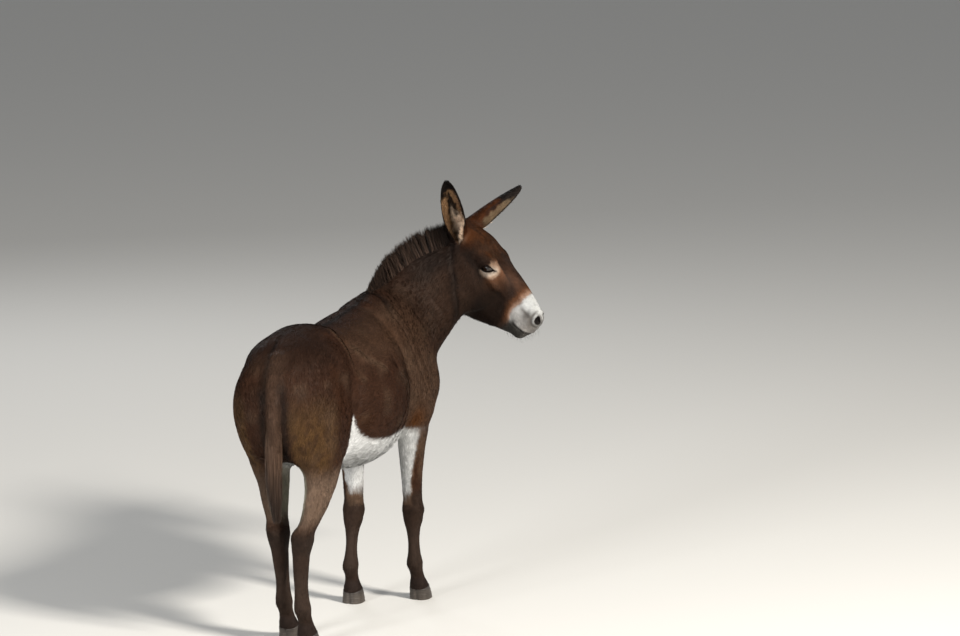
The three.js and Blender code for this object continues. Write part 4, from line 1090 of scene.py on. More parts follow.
def colours(P, N, info=None):
    part_id, W, flow, (ns, nlat, ndor), q, part = info if info is not None else lie(P, N)
    n = len(P)
    x, y, z = P[:, 0], P[:, 1], P[:, 2]
    side = np.where(x < 0, -1.0, 1.0)
    ax = np.abs(x)
    u, v, w = q[:, 0], q[:, 1], q[:, 2]
    idx = {k: i for i, k in enumerate(PARTS)}
    n1 = noise(P, 55, 1)
    n2 = noise(P, 18, 2)
    n3 = noise(P, 7, 3)
    wobble = 7 * n1 + 5 * n2 + 2.5 * n3
    wn = W[:, idx["neck"]]
    wh = W[:, idx["head"]]
    we = W[:, idx["ear_right"]] + W[:, idx["ear_left"]]
    wt = W[:, idx["tail"]]
    col = np.tile(BROWN, (n, 1))

    def mix(mask, colour):
        nonlocal col
        m = np.clip(mask, 0, 1)[:, None]
        col = col * (1 - m) + np.asarray(colour) * m

    body = 1 - wh - we
    # slow changes over the body
    mix(0.45 * sst(0.1, 0.9, n1) * body, GREYBROWN * 0.75)
    mix(0.35 * sst(0.1, 0.9, noise(P, 90, 7)) * body, RUST * 0.55)
    # the shoulder and the lower neck are a little greyer, partly greyer coat and partly painted sheen; a painted sheen
    # on the right side of the back only; the croup darker, and the upward-facing tops of the back and croup darker as
    # painted shade
    mix(0.46 * sst(-60, -300, y) * sst(1100, 930, z) * sst(620, 760, z) * body * (1 - 0.75 * wn), GREYBROWN)
    mix(0.28 * sst(960, 1060, z) * sst(190, 120, y) * body * sst(-30, -90, x), GREYBROWN)
    mix(0.55 * sst(250, 330, y) * sst(1000, 1090, z) * body, DARK)
    mix(0.45 * sst(0.55, 0.95, N[:, 2]) * sst(950, 1050, z) * body, DARK)
    mix(0.74 * wn * sst(0.05, 0.55, ns), DARK)
    # a dark stripe down the back and over the croup, and a thin cross over the shoulders; both partly painted shade,
    # in the groove over the croup and in the crease before the shoulder, with a broad painted shadow at the withers
    stripe = gauss(x + 0.35 * wobble, 17) * sst(0.2, 0.6, N[:, 2]) * (z > 900) * (y > -300)
    stripe = stripe * sst(330, 180, y)
    croup = 1.12 * gauss(polyline_distance(P + 2.0 * n2[:, None], CROUP), 9)
    stripe = np.maximum(stripe, croup)
    mix(0.85 * stripe * body, BLACK)
    right = P.copy()
    right[:, 0] = -ax
    cross = polyline_distance(right + 2.0 * n2[:, None], CREASE)
    mix(0.80 * gauss(cross, 5.5) * sst(800, 880, z) * body, BLACK)
    # painted shadow: a broad black patch where the crease meets the withers
    mix(0.65 * gauss(cross, 16) * sst(1110, 1170, z) * body, BLACK)
    # paler coat along the folds of the loin, partly painted highlight on the ridges of the folds
    for pts in FOLDS:
        mix(0.50 * gauss(polyline_distance(right + 3.0 * n2[:, None], pts), 12) * body, GREYBROWN * 1.15)
    # painted shade: dark lines in the grooves of the neck's wrinkles
    for pts in WRINKLES:
        mix(0.42 * gauss(polyline_distance(right + 2.0 * n2[:, None], pts), 4.5) * body, DARK * 0.8)
    # reddish above the elbow
    elbow = np.exp(-(((y + 300) / 52) ** 2) - (((z - 730) / 50) ** 2)) * (ax > 90)
    mix(0.95 * elbow, np.array([0.062, 0.0215, 0.0050]))
    mix(0.6 * np.exp(-(((y - 157) / 42) ** 2) - (((z - 800) / 34) ** 2)) * (ax > 120), np.array([0.030, 0.0115, 0.0045]))
    # tan on the back of the thighs
    back = sst(-0.25, 0.35, N[:, 1]) * sst(70, 105, ax + 0.4 * wobble)
    tan = sst(620, 700, z + wobble) * sst(985, 890, z + 1.5 * wobble) * sst(330, 420, y) * back
    mix(0.60 * tan, np.array([0.064, 0.035, 0.0160]))
    mix(0.45 * tan * sst(0.0, 0.8, n2 + 0.5) * sst(930, 800, z), np.array([0.100, 0.052, 0.0180]))
    mix(0.45 * tan * gauss(y - 440, 60) * sst(0.1, 0.7, n1 + 0.4), GREYBROWN)
    # paler gaskins, the pale tone halved on the left leg as painted shade
    hind = W[:, idx["hind_right"]] + W[:, idx["hind_left"]]
    fore = W[:, idx["fore_right"]] + W[:, idx["fore_left"]]
    mix(0.85 * (hind + (y > 200) * W[:, idx["trunk"]]) * sst(700, 610, z + wobble) * sst(430, 500, z + wobble), np.array([0.150, 0.100, 0.070]) * np.where(x < 10, 1.0, 0.48)[:, None])
    # lower legs
    low = sst(470, 410, z + wobble)
    mix(0.88 * low, np.array([0.0235, 0.0145, 0.0105]))
    mix(0.6 * low * sst(330, 250, z) * sst(90, 140, z), np.array([0.034, 0.0225, 0.0170]))
    mix(0.55 * gauss(z - 395, 50) * hind, np.array([0.0210, 0.0145, 0.0115]))
    mix(0.85 * sst(110, 80, z), np.array([0.018, 0.012, 0.010]))
    # pale insides of the thighs and gaskins; on the left leg the pale inside stops towards the back, leaving it brown
    # as painted shade
    medial = sst(0.30, 0.75, -N[:, 0] * side + 0.035 * n2 * 2)
    inner = medial * sst(440, 540, z + 2 * wobble) * sst(860, 740, z + wobble) * sst(180, 240, y) * (ax < 150) * np.where(x > 10, sst(425, 390, y), 1.0)
    mix(0.85 * inner, np.array([0.260, 0.245, 0.190]))
    # white belly with a clear edge
    zb = BELLY(y)[1]
    belly = sst(-7, 9, zb - z + 0.75 * wobble) * (y > -430) * (y < 560) * np.clip(W[:, idx["trunk"]] * 1.6 + 0.0, 0, 1)
    belly = belly * (1 - sst(-230, -290, y) * (1 - sst(0.05, -0.45, N[:, 2])))
    belly = belly * np.where((y > 230) & (N[:, 0] * side > 0.25), 0, 1) * sst(400, 340, y)
    mix(0.97 * belly, WHITE)
    # forelegs: pale behind and inside, down to above the knee
    turn = 0.62 * N[:, 1] - 0.62 * N[:, 0] * side + 0.06 * n2
    edge = 438 + 235 * sst(0.62, -0.42, turn + 0.05 * n3)
    low_edge = z - edge + 2.4 * wobble + 9 * noise(P * [1, 1, 0.22], 9, 41)
    pale = sst(-0.50, -0.08, turn) * sst(-34, 34, low_edge) * sst(704, 664, z + wobble)
    fl = np.clip(fore * 1.8, 0, 1)
    mix(0.70 * fl * (y < -120) * sst(-0.62, -0.2, turn) * gauss(low_edge + 22, 44) * (z > 380), GREYBROWN * 1.3)
    mix(0.94 * pale * fl * (y < -120), WHITE * 0.95)
    mix(0.55 * fl * sst(-0.1, -0.5, turn) * sst(450, 520, z) * sst(700, 640, z) * (1 - pale), GREYBROWN * 1.1)
    # between the forelegs
    mix(0.85 * (z < 735) * sst(740, 700, z + wobble) * (y < -200) * (y > -520) * sst(95, 60, ax) * W[:, idx["trunk"]], WHITE * 0.8)

    # ---------------- head
    aw = np.abs(w)
    hw = 7 * noise(P, 26, 11) + 3 * noise(P, 9, 12)
    head = np.clip(wh * 1.25, 0, 1)
    h = np.tile(np.array([0.0185, 0.0086, 0.0050]), (n, 1))

    def hmix(mask, colour):
        nonlocal h
        m = np.clip(mask, 0, 1)[:, None]
        h = h * (1 - m) + np.asarray(colour) * m

    # the cheeks are nearly black, partly dark coat and partly painted shade below the facial crest; the forehead and
    # the bases of the ears rusty
    hmix(0.85 * sst(5, -50, v + hw) * sst(345, 290, u + 0.5 * v), np.array([0.0080, 0.0046, 0.0032]))
    crown = sst(-10, 30, v + hw) * sst(190, 130, u)
    hmix(0.9 * crown, np.array([0.026, 0.0105, 0.0044]))
    hmix(0.50 * crown * sst(0.0, 0.9, noise(P * [1, 1, 0.5], 13, 14) + 0.15), RUST * 0.85)
    hmix(0.50 * crown * sst(0.1, 0.8, noise(P * [1, 1, 0.5], 11, 15)), DARK * 0.7)
    hmix(0.35 * crown * sst(0.3, 0.9, noise(P * [1, 1, 0.5], 9, 16)), GREYBROWN * 0.9)
    hmix(0.75 * gauss(u - 22, 34) * gauss(v + 16, 26) * (aw > 30), RUST * 1.35)
    hmix(0.88 * gauss(np.hypot((u - 15) / 17, (v + 36) / 13) + 0.01 * hw, 1.0) * (aw > 36), np.array([0.36, 0.25, 0.165]))
    hmix(0.80 * gauss(u - 122, 34) * gauss(v + 56, 26) * (aw > 40), DARK * 0.55)
    hmix(0.85 * sst(-34, -62, v) * sst(66, 36, u), BLACK * 1.2)
    # painted shade: the underside of the jaw's rear darkened to near black
    hmix(0.60 * sst(-88, -122, v) * sst(310, 250, u), BLACK * 1.2)
    # face between eye and muzzle
    face = sst(190, 240, u) * sst(10, 40, v + hw)
    hmix(0.75 * face, np.array([0.052, 0.0235, 0.0130]))
    hmix(0.75 * gauss(aw + 0.2 * hw, 17) * sst(110, 160, u) * sst(350, 300, u) * sst(20, 34, v), np.array([0.020, 0.012, 0.009]))
    hmix(0.55 * gauss(v - 18 + 0.25 * (u - 250), 14) * sst(205, 250, u) * sst(340, 300, u), np.array([0.028, 0.018, 0.014]))
    for s_ in (1, -1):
        a, b, o = eye_coords(q, s_)
        on = (w * s_ > 0) & (o > -10)
        halo = gauss(np.hypot((a - 22) / 60, (b + 6) / 50) + 0.012 * hw, 0.95)
        hmix(np.where(on, 0.80 * halo * sst(-18, 24, a - 0.2 * b), 0), np.array([0.125, 0.054, 0.026]))
        ring = np.hypot((a - 5) / 40, (b + 4) / 33) + 0.012 * hw
        high = sst(13, 0, a + 0.3 * hw) * sst(-3, 4, b + 9 - 0.4 * (a + 33))
        m = sst(1.18, 0.76, ring) * (1 - high)
        hmix(np.where(on, 0.92 * m, 0), CREAM * 0.72)
        hmix(np.where(on, 0.80 * sst(0.96, 0.62, ring) * (1 - high) * sst(20, 2, b), 0), np.array([0.350, 0.292, 0.240]))
        hmix(np.where(on, 0.66 * sst(6, 24, b) * m, 0), np.array([0.155, 0.085, 0.050]))
        hmix(np.where(on, 0.85 * high * gauss(np.hypot((a + 16) / 44, (b - 14) / 26), 1.0), 0), DARK * 0.75)
        # dark rims of the lids, drawn out at both corners: the lids' dark skin, with painted shade of the lids and
        # lashes at the corners
        sl = slit(a, b)
        hmix(np.where(on & (o > 2), sst(5.0, 3.0, sl), 0), BLACK)
        hmix(np.where(on, 0.97 * sst(1.25, 0.8, np.hypot((a - 28.5) / 8.5, (b + 5.5) / 4.0)), 0), BLACK * 1.1)
        hmix(np.where(on, 0.97 * sst(1.25, 0.8, np.hypot((a + 29.5) / 8.0, (b + 10.5) / 4.2)), 0), BLACK * 1.1)
    # muzzle: white with a rusty band above it, grey round the nostrils and the lips, with painted shade beside the
    # nostrils and on the muzzle's front
    ub = MUZZLE_EDGE(v)[1] + 0.8 * hw
    hmix(0.80 * gauss(u - ub + 14, 18) * sst(0, 12, ub + 14 - u), np.array([0.105, 0.042, 0.0180]))
    hmix(0.75 * gauss(u - ub + 3, 8), np.array([0.30, 0.19, 0.135]))
    hmix(sst(-3, 11, u - ub), np.array([0.415, 0.420, 0.412]))
    nose = np.hypot((u - 438) / 25, (v - 10) / 26)
    beyond = sst(-3, 11, u - ub)
    # painted shade: a grey patch and band beside the nostril, where its rim's shadow falls
    hmix(0.85 * beyond * gauss(np.hypot((u - 408) / 24, (v - 2) / 34) + 0.012 * hw, 1.0) * sst(12, 24, aw), ASH * 0.60)
    shade = polyline_distance(np.stack([u, v, 0 * u], 1), [(376, 3, 0), (400, 8, 0), (419, 14, 0), (432, 4, 0), (447, -9, 0)])
    hmix(0.86 * beyond * gauss(shade + 0.4 * hw, 8.5) * sst(14, 26, aw), ASH * 0.48)
    hmix(0.35 * beyond * sst(24, -6, v + 0.6 * hw) * sst(12, 24, aw), ASH * 2.0)
    hmix(0.72 * beyond * gauss(nose, 1.0) * (aw > 12), ASH * 1.5)
    hmix(0.70 * beyond * sst(412, 440, u + 0.4 * hw) * sst(12, -14, v), ASH * 1.7)
    hmix(0.30 * beyond * sst(-10, -30, v), ASH * 3.0)
    vm = MOUTH(u)[1]
    hmix(0.85 * beyond * sst(17, 3, np.abs(v - vm + 3)) * sst(380, 404, u), ASH * 0.95)
    hmix(0.93 * beyond * gauss(v - vm, 3.4) * sst(392, 406, u), SLATE * 0.30)
    hmix(0.95 * sst(2, -6, v - vm + 0.3 * hw) * sst(385, 404, u + 0.5 * hw), SLATE * 1.25)
    hmix(0.93 * sst(-60, -76, v + 0.6 * hw) * sst(358, 392, u), SLATE * 1.0)
    hmix(0.75 * beyond * gauss(np.hypot((u - 396) / 18, (v + 58) / 17), 1.0), SLATE * 0.9)
    # painted shade: grey on the front of the muzzle, below and in front of the nostril
    hmix(0.45 * beyond * sst(448, 462, u) * sst(10, -10, v), ASH * 1.2)
    hmix(0.78 * beyond * gauss(np.hypot((u - 463) / 18, (v - 22) / 28) + 0.012 * hw, 1.0), ASH * 0.95)
    # nostril's inside
    nn = np.stack([u - NOSTRIL[0], v - NOSTRIL[1], aw - NOSTRIL[2]], 1)
    n1_ = nn[:, 0] * math.cos(NOSTRIL_TILT) + nn[:, 1] * math.sin(NOSTRIL_TILT)
    n2_ = -nn[:, 0] * math.sin(NOSTRIL_TILT) + nn[:, 1] * math.cos(NOSTRIL_TILT)
    op = np.sqrt((n1_ / 17.5) ** 2 + ((n2_ - 0.014 * n1_ * n1_ + 1.0) / 7.5) ** 2 + (nn[:, 2] / 17) ** 2)
    hmix(0.85 * gauss(op - 3.2, 0.95) * sst(2, -10, n2_) * (aw > 10), ASH * 0.85)
    # painted highlight: a pale C on the lit side of the nostril's rim
    hmix(0.65 * gauss(op - 1.95, 0.40) * sst(0, -8, n2_) * sst(14, 2, n1_), WHITE * 0.50)
    hmix(0.80 * gauss(op - 1.5, 0.55) * sst(-3, 6, n2_), ASH * 0.9)
    hmix(sst(1.42, 1.16, op), np.array([0.006, 0.005, 0.005]))
    m = head[:, None]
    col = col * (1 - m) + h * m
    # painted shade: a black line in the groove behind the jaw; beside it a pale line, and black below the ears
    behind_jaw = polyline_distance(right + 2.5 * n2[:, None], JAW)
    mix(0.70 * gauss(behind_jaw, 13), BLACK * 1.3)
    streak = gauss(polyline_distance(right, [(x, y - 17, z) for x, y, z in JAW[1:5]]), 6)
    mix(0.45 * streak, GREYBROWN * 0.8)
    crest = wn * sst(0.55, 0.85, ns) * sst(60, 120, ndor)
    mix(0.75 * crest, BLACK * 1.5)

    # ---------------- ears
    for name in ears:
        k = np.nonzero(W[:, idx[name]] > 0.02)[0]
        if len(k) == 0:
            continue
        t, share, off, edge, over, thick, inside = ear_coords(name, q[k])
        s_ = np.abs(share) + 0.06 * noise(P[k], 14, 21)
        tt = t + 0.05 * noise(P[k], 20, 22)
        outer = (off > 0).astype(float)
        ragged = 0.16 * noise(P[k] * [1, 1, 0.45], 10, 23)
        low = share if name == "ear_left" else -share
        # back: rust, black towards the tip and along the upper edge of the foot, a pale strip on the far edge
        c_out = lerp(np.array([0.026, 0.0080, 0.0026]), np.array([0.042, 0.0125, 0.0036]), sst(-0.2, 0.4, ragged * 3)[:, None])
        c_out = lerp(c_out, BLACK, sst(0.52, 0.66, tt - 0.06 * low)[:, None])
        c_out = lerp(c_out, BLACK * 1.2, (0.92 * sst(0.10, -0.35, low + ragged) * sst(0.30, 0.12, tt))[:, None])
        c_out = lerp(c_out, BLACK, (0.90 * sst(0.78, 0.96, -low) * sst(0.02, 0.2, tt))[:, None])
        if name == "ear_left":
            strip = sst(0.50, 0.64, low + 0.5 * ragged) * sst(0.82, 0.70, tt + 0.16 * (1 - low)) * sst(0.08, 0.2, tt)
            c_out = lerp(c_out, BLACK * 1.5, (0.75 * gauss(low - 0.44 + 0.5 * ragged, 0.10) * sst(0.2, 0.4, tt))[:, None])
            c_out = lerp(c_out, np.array([0.095, 0.066, 0.039]), (0.92 * strip * (0.75 + 0.25 * sst(-0.5, 0.5, 6 * ragged)))[:, None])
            c_out = lerp(c_out, BLACK * 1.6, (0.85 * sst(0.90, 0.99, low) * sst(0.10, 0.3, tt))[:, None])
        else:
            c_out = lerp(c_out, BLACK, (0.95 * sst(0.88, 0.98, low) * sst(0.10, 0.3, tt))[:, None])
        # inside: buff with a ragged dark middle, cream at the foot and up the front edge, black tip and rim
        c_in = np.tile(BUFF * 1.1, (len(k), 1))
        c_in = lerp(c_in, np.array([0.190, 0.100, 0.055]), (0.7 * sst(0.2, 0.7, low))[:, None])
        vein = 0.30 * noise(P[k] * [1, 1, 0.30], 6.5, 24)
        blob = np.hypot((low - 0.02 + 0.10 * sst(0.5, 0.7, tt)) / (0.38 - 0.20 * sst(0.55, 0.78, tt)), (t - 0.50) / 0.30) + 1.6 * ragged + vein
        c_in = lerp(c_in, np.array([0.0062, 0.0038, 0.0030]), (0.96 * sst(1.12, 0.78, blob))[:, None])
        c_in = lerp(c_in, np.array([0.60, 0.46, 0.345]), (0.95 * sst(0.46, 0.30, tt + ragged) * sst(-0.42, 0.05, low + ragged + 0.4 * vein))[:, None])
        c_in = lerp(c_in, np.array([0.020, 0.010, 0.006]), (0.80 * sst(0.25, 0.10, tt) * sst(-0.10, -0.5, low + ragged))[:, None])
        c_in = lerp(c_in, BLACK, sst(0.72, 0.82, tt + 0.6 * ragged)[:, None])
        c_in = lerp(c_in, BLACK * 1.2, (0.95 * sst(0.86, 0.96, s_) * sst(0.30, 0.45, tt - 0.4 * (low < 0)))[:, None])
        c = lerp(c_in, c_out, outer[:, None])
        m = np.clip(W[k, idx[name]] * 1.3, 0, 1)[:, None]
        col[k] = col[k] * (1 - m) + c * m
    # ---------------- tail
    ts, tlat, tout, _, _ = tail_coords(P)
    mix(0.85 * wt, np.array([0.068, 0.0400, 0.0265]))
    # painted shadow: black in the gap beside the tail; painted shade darkening the tail's own sides
    beside = gauss(np.abs(tlat) - 38, 17) * sst(70, 45, part["tail"]) * sst(0.10, 0.2, ts) * (1 - wt)
    mix(0.95 * beside * (y > 470), BLACK)
    mix(0.55 * wt * gauss(np.abs(tlat) - 30, 9), DARK)
    # fine mottling of the whole coat
    f = 1 + 0.16 * noise(P, 11, 31) + 0.10 * noise(P, 4.5, 32)
    return np.clip(col * f[:, None], 0.002, 0.9)


info = lie(P, NRM)
tint = colours(P, NRM, info)
said("colours")
P_row = ((P + SHIFT) / 1000).astype(np.float32)
skin_mesh.vertices.foreach_set("co", P_row.reshape(-1))
skin_mesh.update()
skin_mesh.polygons.foreach_set("use_smooth", np.ones(len(skin_mesh.polygons), bool))
set_colour(skin_mesh, tint)
skin = bpy.data.objects.new("skin", skin_mesh)
bpy.context.scene.collection.objects.link(skin)


# ============================================================ materials
def material(name, rough=0.6, bump=0.3, scale=300.0, spec=0.4, sheen=0.0, vary=0.18, tint_name="Tint", coat=0.0, colour=None, stretch=(1, 1, 1)):
    """Colour from the mesh's own tint with fine procedural changes, and a fine bump."""
    mat = bpy.data.materials.new(name)
    mat.use_nodes = True
    nt = mat.node_tree
    nt.nodes.clear()
    out = nt.nodes.new("ShaderNodeOutputMaterial")
    b = nt.nodes.new("ShaderNodeBsdfPrincipled")
    nt.links.new(b.outputs[0], out.inputs[0])
    b.inputs["Specular IOR Level"].default_value = spec
    b.inputs["Specular Tint"].default_value = (1.0, 0.86, 0.76, 1.0) if "hair" in name else (1.0, 1.0, 1.0, 1.0)
    b.inputs["Sheen Weight"].default_value = sheen
    b.inputs["Sheen Roughness"].default_value = 0.4
    b.inputs["Coat Weight"].default_value = coat
    b.inputs["Coat Roughness"].default_value = 0.03
    tc = nt.nodes.new("ShaderNodeTexCoord")
    mp = nt.nodes.new("ShaderNodeMapping")
    mp.inputs["Scale"].default_value = stretch
    nt.links.new(tc.outputs["Object"], mp.inputs[0])
    tex = nt.nodes.new("ShaderNodeTexNoise")
    tex.inputs["Scale"].default_value = scale
    tex.inputs["Detail"].default_value = 3
    nt.links.new(mp.outputs[0], tex.inputs["Vector"])
    ramp = nt.nodes.new("ShaderNodeMapRange")
    ramp.inputs["To Min"].default_value = 1 - vary
    ramp.inputs["To Max"].default_value = 1 + vary
    nt.links.new(tex.outputs[0], ramp.inputs["Value"])
    mul = nt.nodes.new("ShaderNodeVectorMath")
    mul.operation = "SCALE"
    if colour is None:
        at = nt.nodes.new("ShaderNodeAttribute")
        at.attribute_name = tint_name
        nt.links.new(at.outputs["Color"], mul.inputs[0])
    else:
        mul.inputs[0].default_value = colour
    nt.links.new(ramp.outputs[0], mul.inputs["Scale"])
    nt.links.new(mul.outputs[0], b.inputs["Base Color"])
    rr = nt.nodes.new("ShaderNodeMapRange")
    rr.inputs["To Min"].default_value = max(0.02, rough - 0.08)
    rr.inputs["To Max"].default_value = rough + 0.08
    nt.links.new(tex.outputs[0], rr.inputs["Value"])
    nt.links.new(rr.outputs[0], b.inputs["Roughness"])
    if bump:
        bp = nt.nodes.new("ShaderNodeBump")
        bp.inputs["Strength"].default_value = bump
        bp.inputs["Distance"].default_value = 0.001
        nt.links.new(tex.outputs[0], bp.inputs["Height"])
        nt.links.new(bp.outputs[0], b.inputs["Normal"])
    return mat


M_SKIN = material("skin_hair", 0.66, 0.5, 420, 0.08, 0.0, 0.22)
M_COAT = material("coat_hair", 0.54, 0.0, 260, 0.085, 0.0, 0.14)
M_LONG = material("mane_hair", 0.46, 0.0, 200, 0.18, 0.0, 0.25)
M_HORN = material("hoof_horn", 0.52, 0.35, 160, 0.4, 0.0, 0.25, stretch=(0.4, 0.4, 3.5))
M_EYE = material("eye_wet", 0.08, 0.0, 300, 0.25, 0.0, 0.1, coat=0.7)

skin.data.materials.append(M_SKIN)
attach(skin, "root")
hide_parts("trunk", "neck", "head", "ear_left", "ear_right", "tail", "leg_hind_left", "leg_hind_right", "leg_fore_left", "leg_fore_right")

# ============================================================ eyes
for side, label in ((1, "left"), (-1, "right")):
    a, b, o = EYES[side]
    nu, nv = 64, 40
    rows = []
    R = EYE["radius"] - 0.1
    for j in range(nv + 1):
        th = math.pi * j / nv
        for i in range(nu):
            ph = 2 * math.pi * i / nu
            rows.append((math.sin(th) * math.cos(ph), math.sin(th) * math.sin(ph), math.cos(th)))
    rows = np.array(rows)
    dome = 1.2 * np.exp(-(((1 - rows[:, 2]) / 0.16) ** 2))
    pts = rows * (R + dome)[:, None]
    place = EYE_C[side] + pts[:, :1] * a + pts[:, 1:2] * b + pts[:, 2:] * o
    faces = []
    for j in range(nv):
        for i in range(nu):
            k = (i + 1) % nu
            faces.append((j * nu + i, (j + 1) * nu + i, (j + 1) * nu + k, j * nu + k))
    rr = np.hypot(rows[:, 0], rows[:, 1]) * R
    front = rows[:, 2] > 0
    pupil = np.sqrt((rows[:, 0] * R / 8.0) ** 2 + (rows[:, 1] * R / 4.2) ** 2)
    col = np.tile(np.array([0.05, 0.028, 0.016]), (len(rows), 1))
    iris = np.array([0.010, 0.0050, 0.0022])
    streaks = 1 + 0.35 * np.sin(np.arctan2(rows[:, 1], rows[:, 0]) * 37) * (rr > 6)
    m = (sst(15.0, 14.0, rr) * front)[:, None]
    col = col * (1 - m) + iris * streaks[:, None] * m
    m = (sst(1.05, 0.95, pupil) * front)[:, None]
    col = col * (1 - m) + np.array([0.002, 0.002, 0.003]) * m
    place_b = from_head(place)
    fa = np.array(faces)
    ob = mesh_object("eyeball_" + label, place_b, fa)
    # faces out
    bm = bmesh.new()
    bm.from_mesh(ob.data)
    bmesh.ops.remove_doubles(bm, verts=bm.verts, dist=1e-6)
    bmesh.ops.recalc_face_normals(bm, faces=bm.faces)
    bm.to_mesh(ob.data)
    bm.free()
    # colours again after the poles were merged
    co = np.zeros(len(ob.data.vertices) * 3, np.float32)
    ob.data.vertices.foreach_get("co", co)
    loc = (to_head(co.reshape(-1, 3).astype(float) * 1000 - SHIFT) - EYE_C[side]) @ np.stack([a, b, o]).T
    rr = np.hypot(loc[:, 0], loc[:, 1])
    front = loc[:, 2] > 0
    pupil = np.sqrt((loc[:, 0] / 8.0) ** 2 + (loc[:, 1] / 4.2) ** 2)
    col = np.tile(np.array([0.012, 0.0070, 0.0050]), (len(loc), 1))
    streaks = 1 + 0.3 * np.sin(np.arctan2(loc[:, 1], loc[:, 0]) * 37) * (rr > 6)
    m = (sst(15.5, 14.0, rr) * front)[:, None]
    col = col * (1 - m) + iris * streaks[:, None] * m
    m = (sst(1.06, 0.94, pupil) * front)[:, None]
    col = col * (1 - m) + np.array([0.002, 0.002, 0.003]) * m
    set_colour(ob.data, col)
    ob.data.materials.append(M_EYE)
    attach(ob, "root")
    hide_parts("eye_" + label)

# ============================================================ hooves
for name in LEGS:
    table = leg_tables[name]
    nu, nv = 96, 26
    verts = []
    for j in range(nv + 1):
        h = j / nv
        for i in range(nu):
            ph = 2 * math.pi * i / nu
            zc = 30.0
            for _ in range(3):
                _, cx, cy, a, f, b, n = [float(c) for c in table(zc)]
                cph, sph = math.cos(ph), math.sin(ph)
                r = f if sph < 0 else b
                rad = (abs(cph / a) ** n + abs(sph / r) ** n) ** (-1 / n)
                x, y = cx + rad * cph, cy + rad * sph
                top = coronet_height(name, y) - 0.8
                zc = 0.0 + top * h
            # growth rings, a rounded ground edge, and a heel that is a little cleft
            grow = 0.45 * math.sin(zc * 0.95) + 0.25 * math.sin(zc * 0.37 + 1)
            grow += -3.2 * max(0, 1 - zc / 3.5) ** 2
            grow += -5.0 * math.exp(-(((ph - math.pi / 2) / 0.16) ** 2)) * (1 - 0.4 * h)
            grow += 0.7 * math.exp(-(((h - 0.93) / 0.05) ** 2)) - 4.5 * max(0, (h - 0.965) / 0.035) ** 2
            rad += grow
            verts.append((cx + rad * cph, cy + rad * sph, zc))
    faces = []
    for j in range(nv):
        for i in range(nu):
            k = (i + 1) % nu
            faces.append((j * nu + i, j * nu + k, (j + 1) * nu + k, (j + 1) * nu + i))
    ob = mesh_object("horn_" + name, verts, faces)
    bm = bmesh.new()
    bm.from_mesh(ob.data)
    bm.verts.ensure_lookup_table()
    rings = [[bm.verts[base + i] for i in range(nu)] for base in (0, nv * nu)]
    for ring in rings:
        c = Vector((0, 0, 0))
        for vtx in ring:
            c += vtx.co
        mid = bm.verts.new(c / nu)
        for i in range(nu):
            f = bm.faces.new((ring[i], ring[(i + 1) % nu], mid))
            f.smooth = False
    bmesh.ops.recalc_face_normals(bm, faces=bm.faces)
    bm.to_mesh(ob.data)
    bm.free()
    co = np.zeros(len(ob.data.vertices) * 3, np.float32)
    ob.data.vertices.foreach_get("co", co)
    pb = co.reshape(-1, 3).astype(float) * 1000 - SHIFT
    c = np.tile(np.array([0.050, 0.040, 0.032]), (len(pb), 1))
    c = lerp(c, np.array([0.020, 0.016, 0.014]), sst(25, 60, pb[:, 2])[:, None])
    ringy = 1 + 0.22 * np.sin(pb[:, 2] * 0.95)[:, None] + 0.25 * noise(pb * np.array([1, 1, 0.3]), 6, 41)[:, None]
    c = c * ringy
    c = lerp(c, np.array([0.085, 0.070, 0.055]), (0.6 * sst(9, 1, pb[:, 2]))[:, None])
    set_colour(ob.data, np.clip(c, 0.004, 1))
    ob.data.materials.append(M_HORN)
    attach(ob, "root")
    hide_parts("hoof_" + name)
said("eyes and hooves")

# ============================================================ tufts
rng = np.random.default_rng(20261123)


def strands(name, root, up, across, length, width, lift, curve, colour, uv, mat, segments=1, tip=0.15, dark_root=0.72, light_tip=1.12, replaces=()):
    """Flat pointed locks in one mesh. Each starts at its root, runs along 'up' and rises by 'lift' along 'curve'."""
    n = len(root)
    k = segments + 1
    ts = np.linspace(0, 1, segments + 2)[:-1]
    pts = []
    shade = []
    uvs = []
    h = 0.0015
    for t in ts:
        c = root + up * (length * t)[:, None] + curve * (lift * t * (2 - t))[:, None] if lift.ndim else root
        w = (width * 0.5 * (1 - (1 - tip) * t**1.6))[:, None]
        pts += [c - across * w, c + across * w]
        shade += [lerp(dark_root, light_tip, t)] * 2
        uvs += [(-h, -h + 2 * h * t), (h, -h + 2 * h * t)]
    t = 1.0
    c = root + up * length[:, None] + curve * (lift * t * (2 - t))[:, None]
    pts.append(c)
    shade.append(light_tip)
    uvs.append((0, h))
    per = 2 * k + 1
    verts = np.stack(pts, 1).reshape(-1, 3)
    tris = []
    for j in range(k - 1):
        a = 2 * j
        tris += [(a, a + 1, a + 3), (a, a + 3, a + 2)]
    a = 2 * (k - 1)
    tris += [(a, a + 1, a + 2)]
    tris = np.array(tris)
    faces = (np.arange(n)[:, None, None] * per + tris[None]).reshape(-1, 3)
    ob = mesh_object(name, verts, faces, smooth=True)
    col = (colour[:, None, :] * np.array(shade)[None, :, None]).reshape(-1, 3)
    set_colour(ob.data, np.clip(col, 0.0015, 0.95))
    layer = ob.data.uv_layers.new(name="OFBake")
    patch = np.array(uvs)[tris.reshape(-1)]
    loops = (np.clip(uv, 0.003, 0.997)[:, None, :] + patch[None]).reshape(-1)
    layer.data.foreach_set("uv", loops.astype(np.float32))
    ob.data.materials.append(mat)
    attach(ob, "root")
    if replaces:
        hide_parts(*replaces)
    return ob


def turn_about(v, axis, angle):
    c, s = np.cos(angle)[:, None], np.sin(angle)[:, None]
    return v * c + np.cross(axis, v) * s + axis * np.sum(v * axis, 1, keepdims=True) * (1 - c)


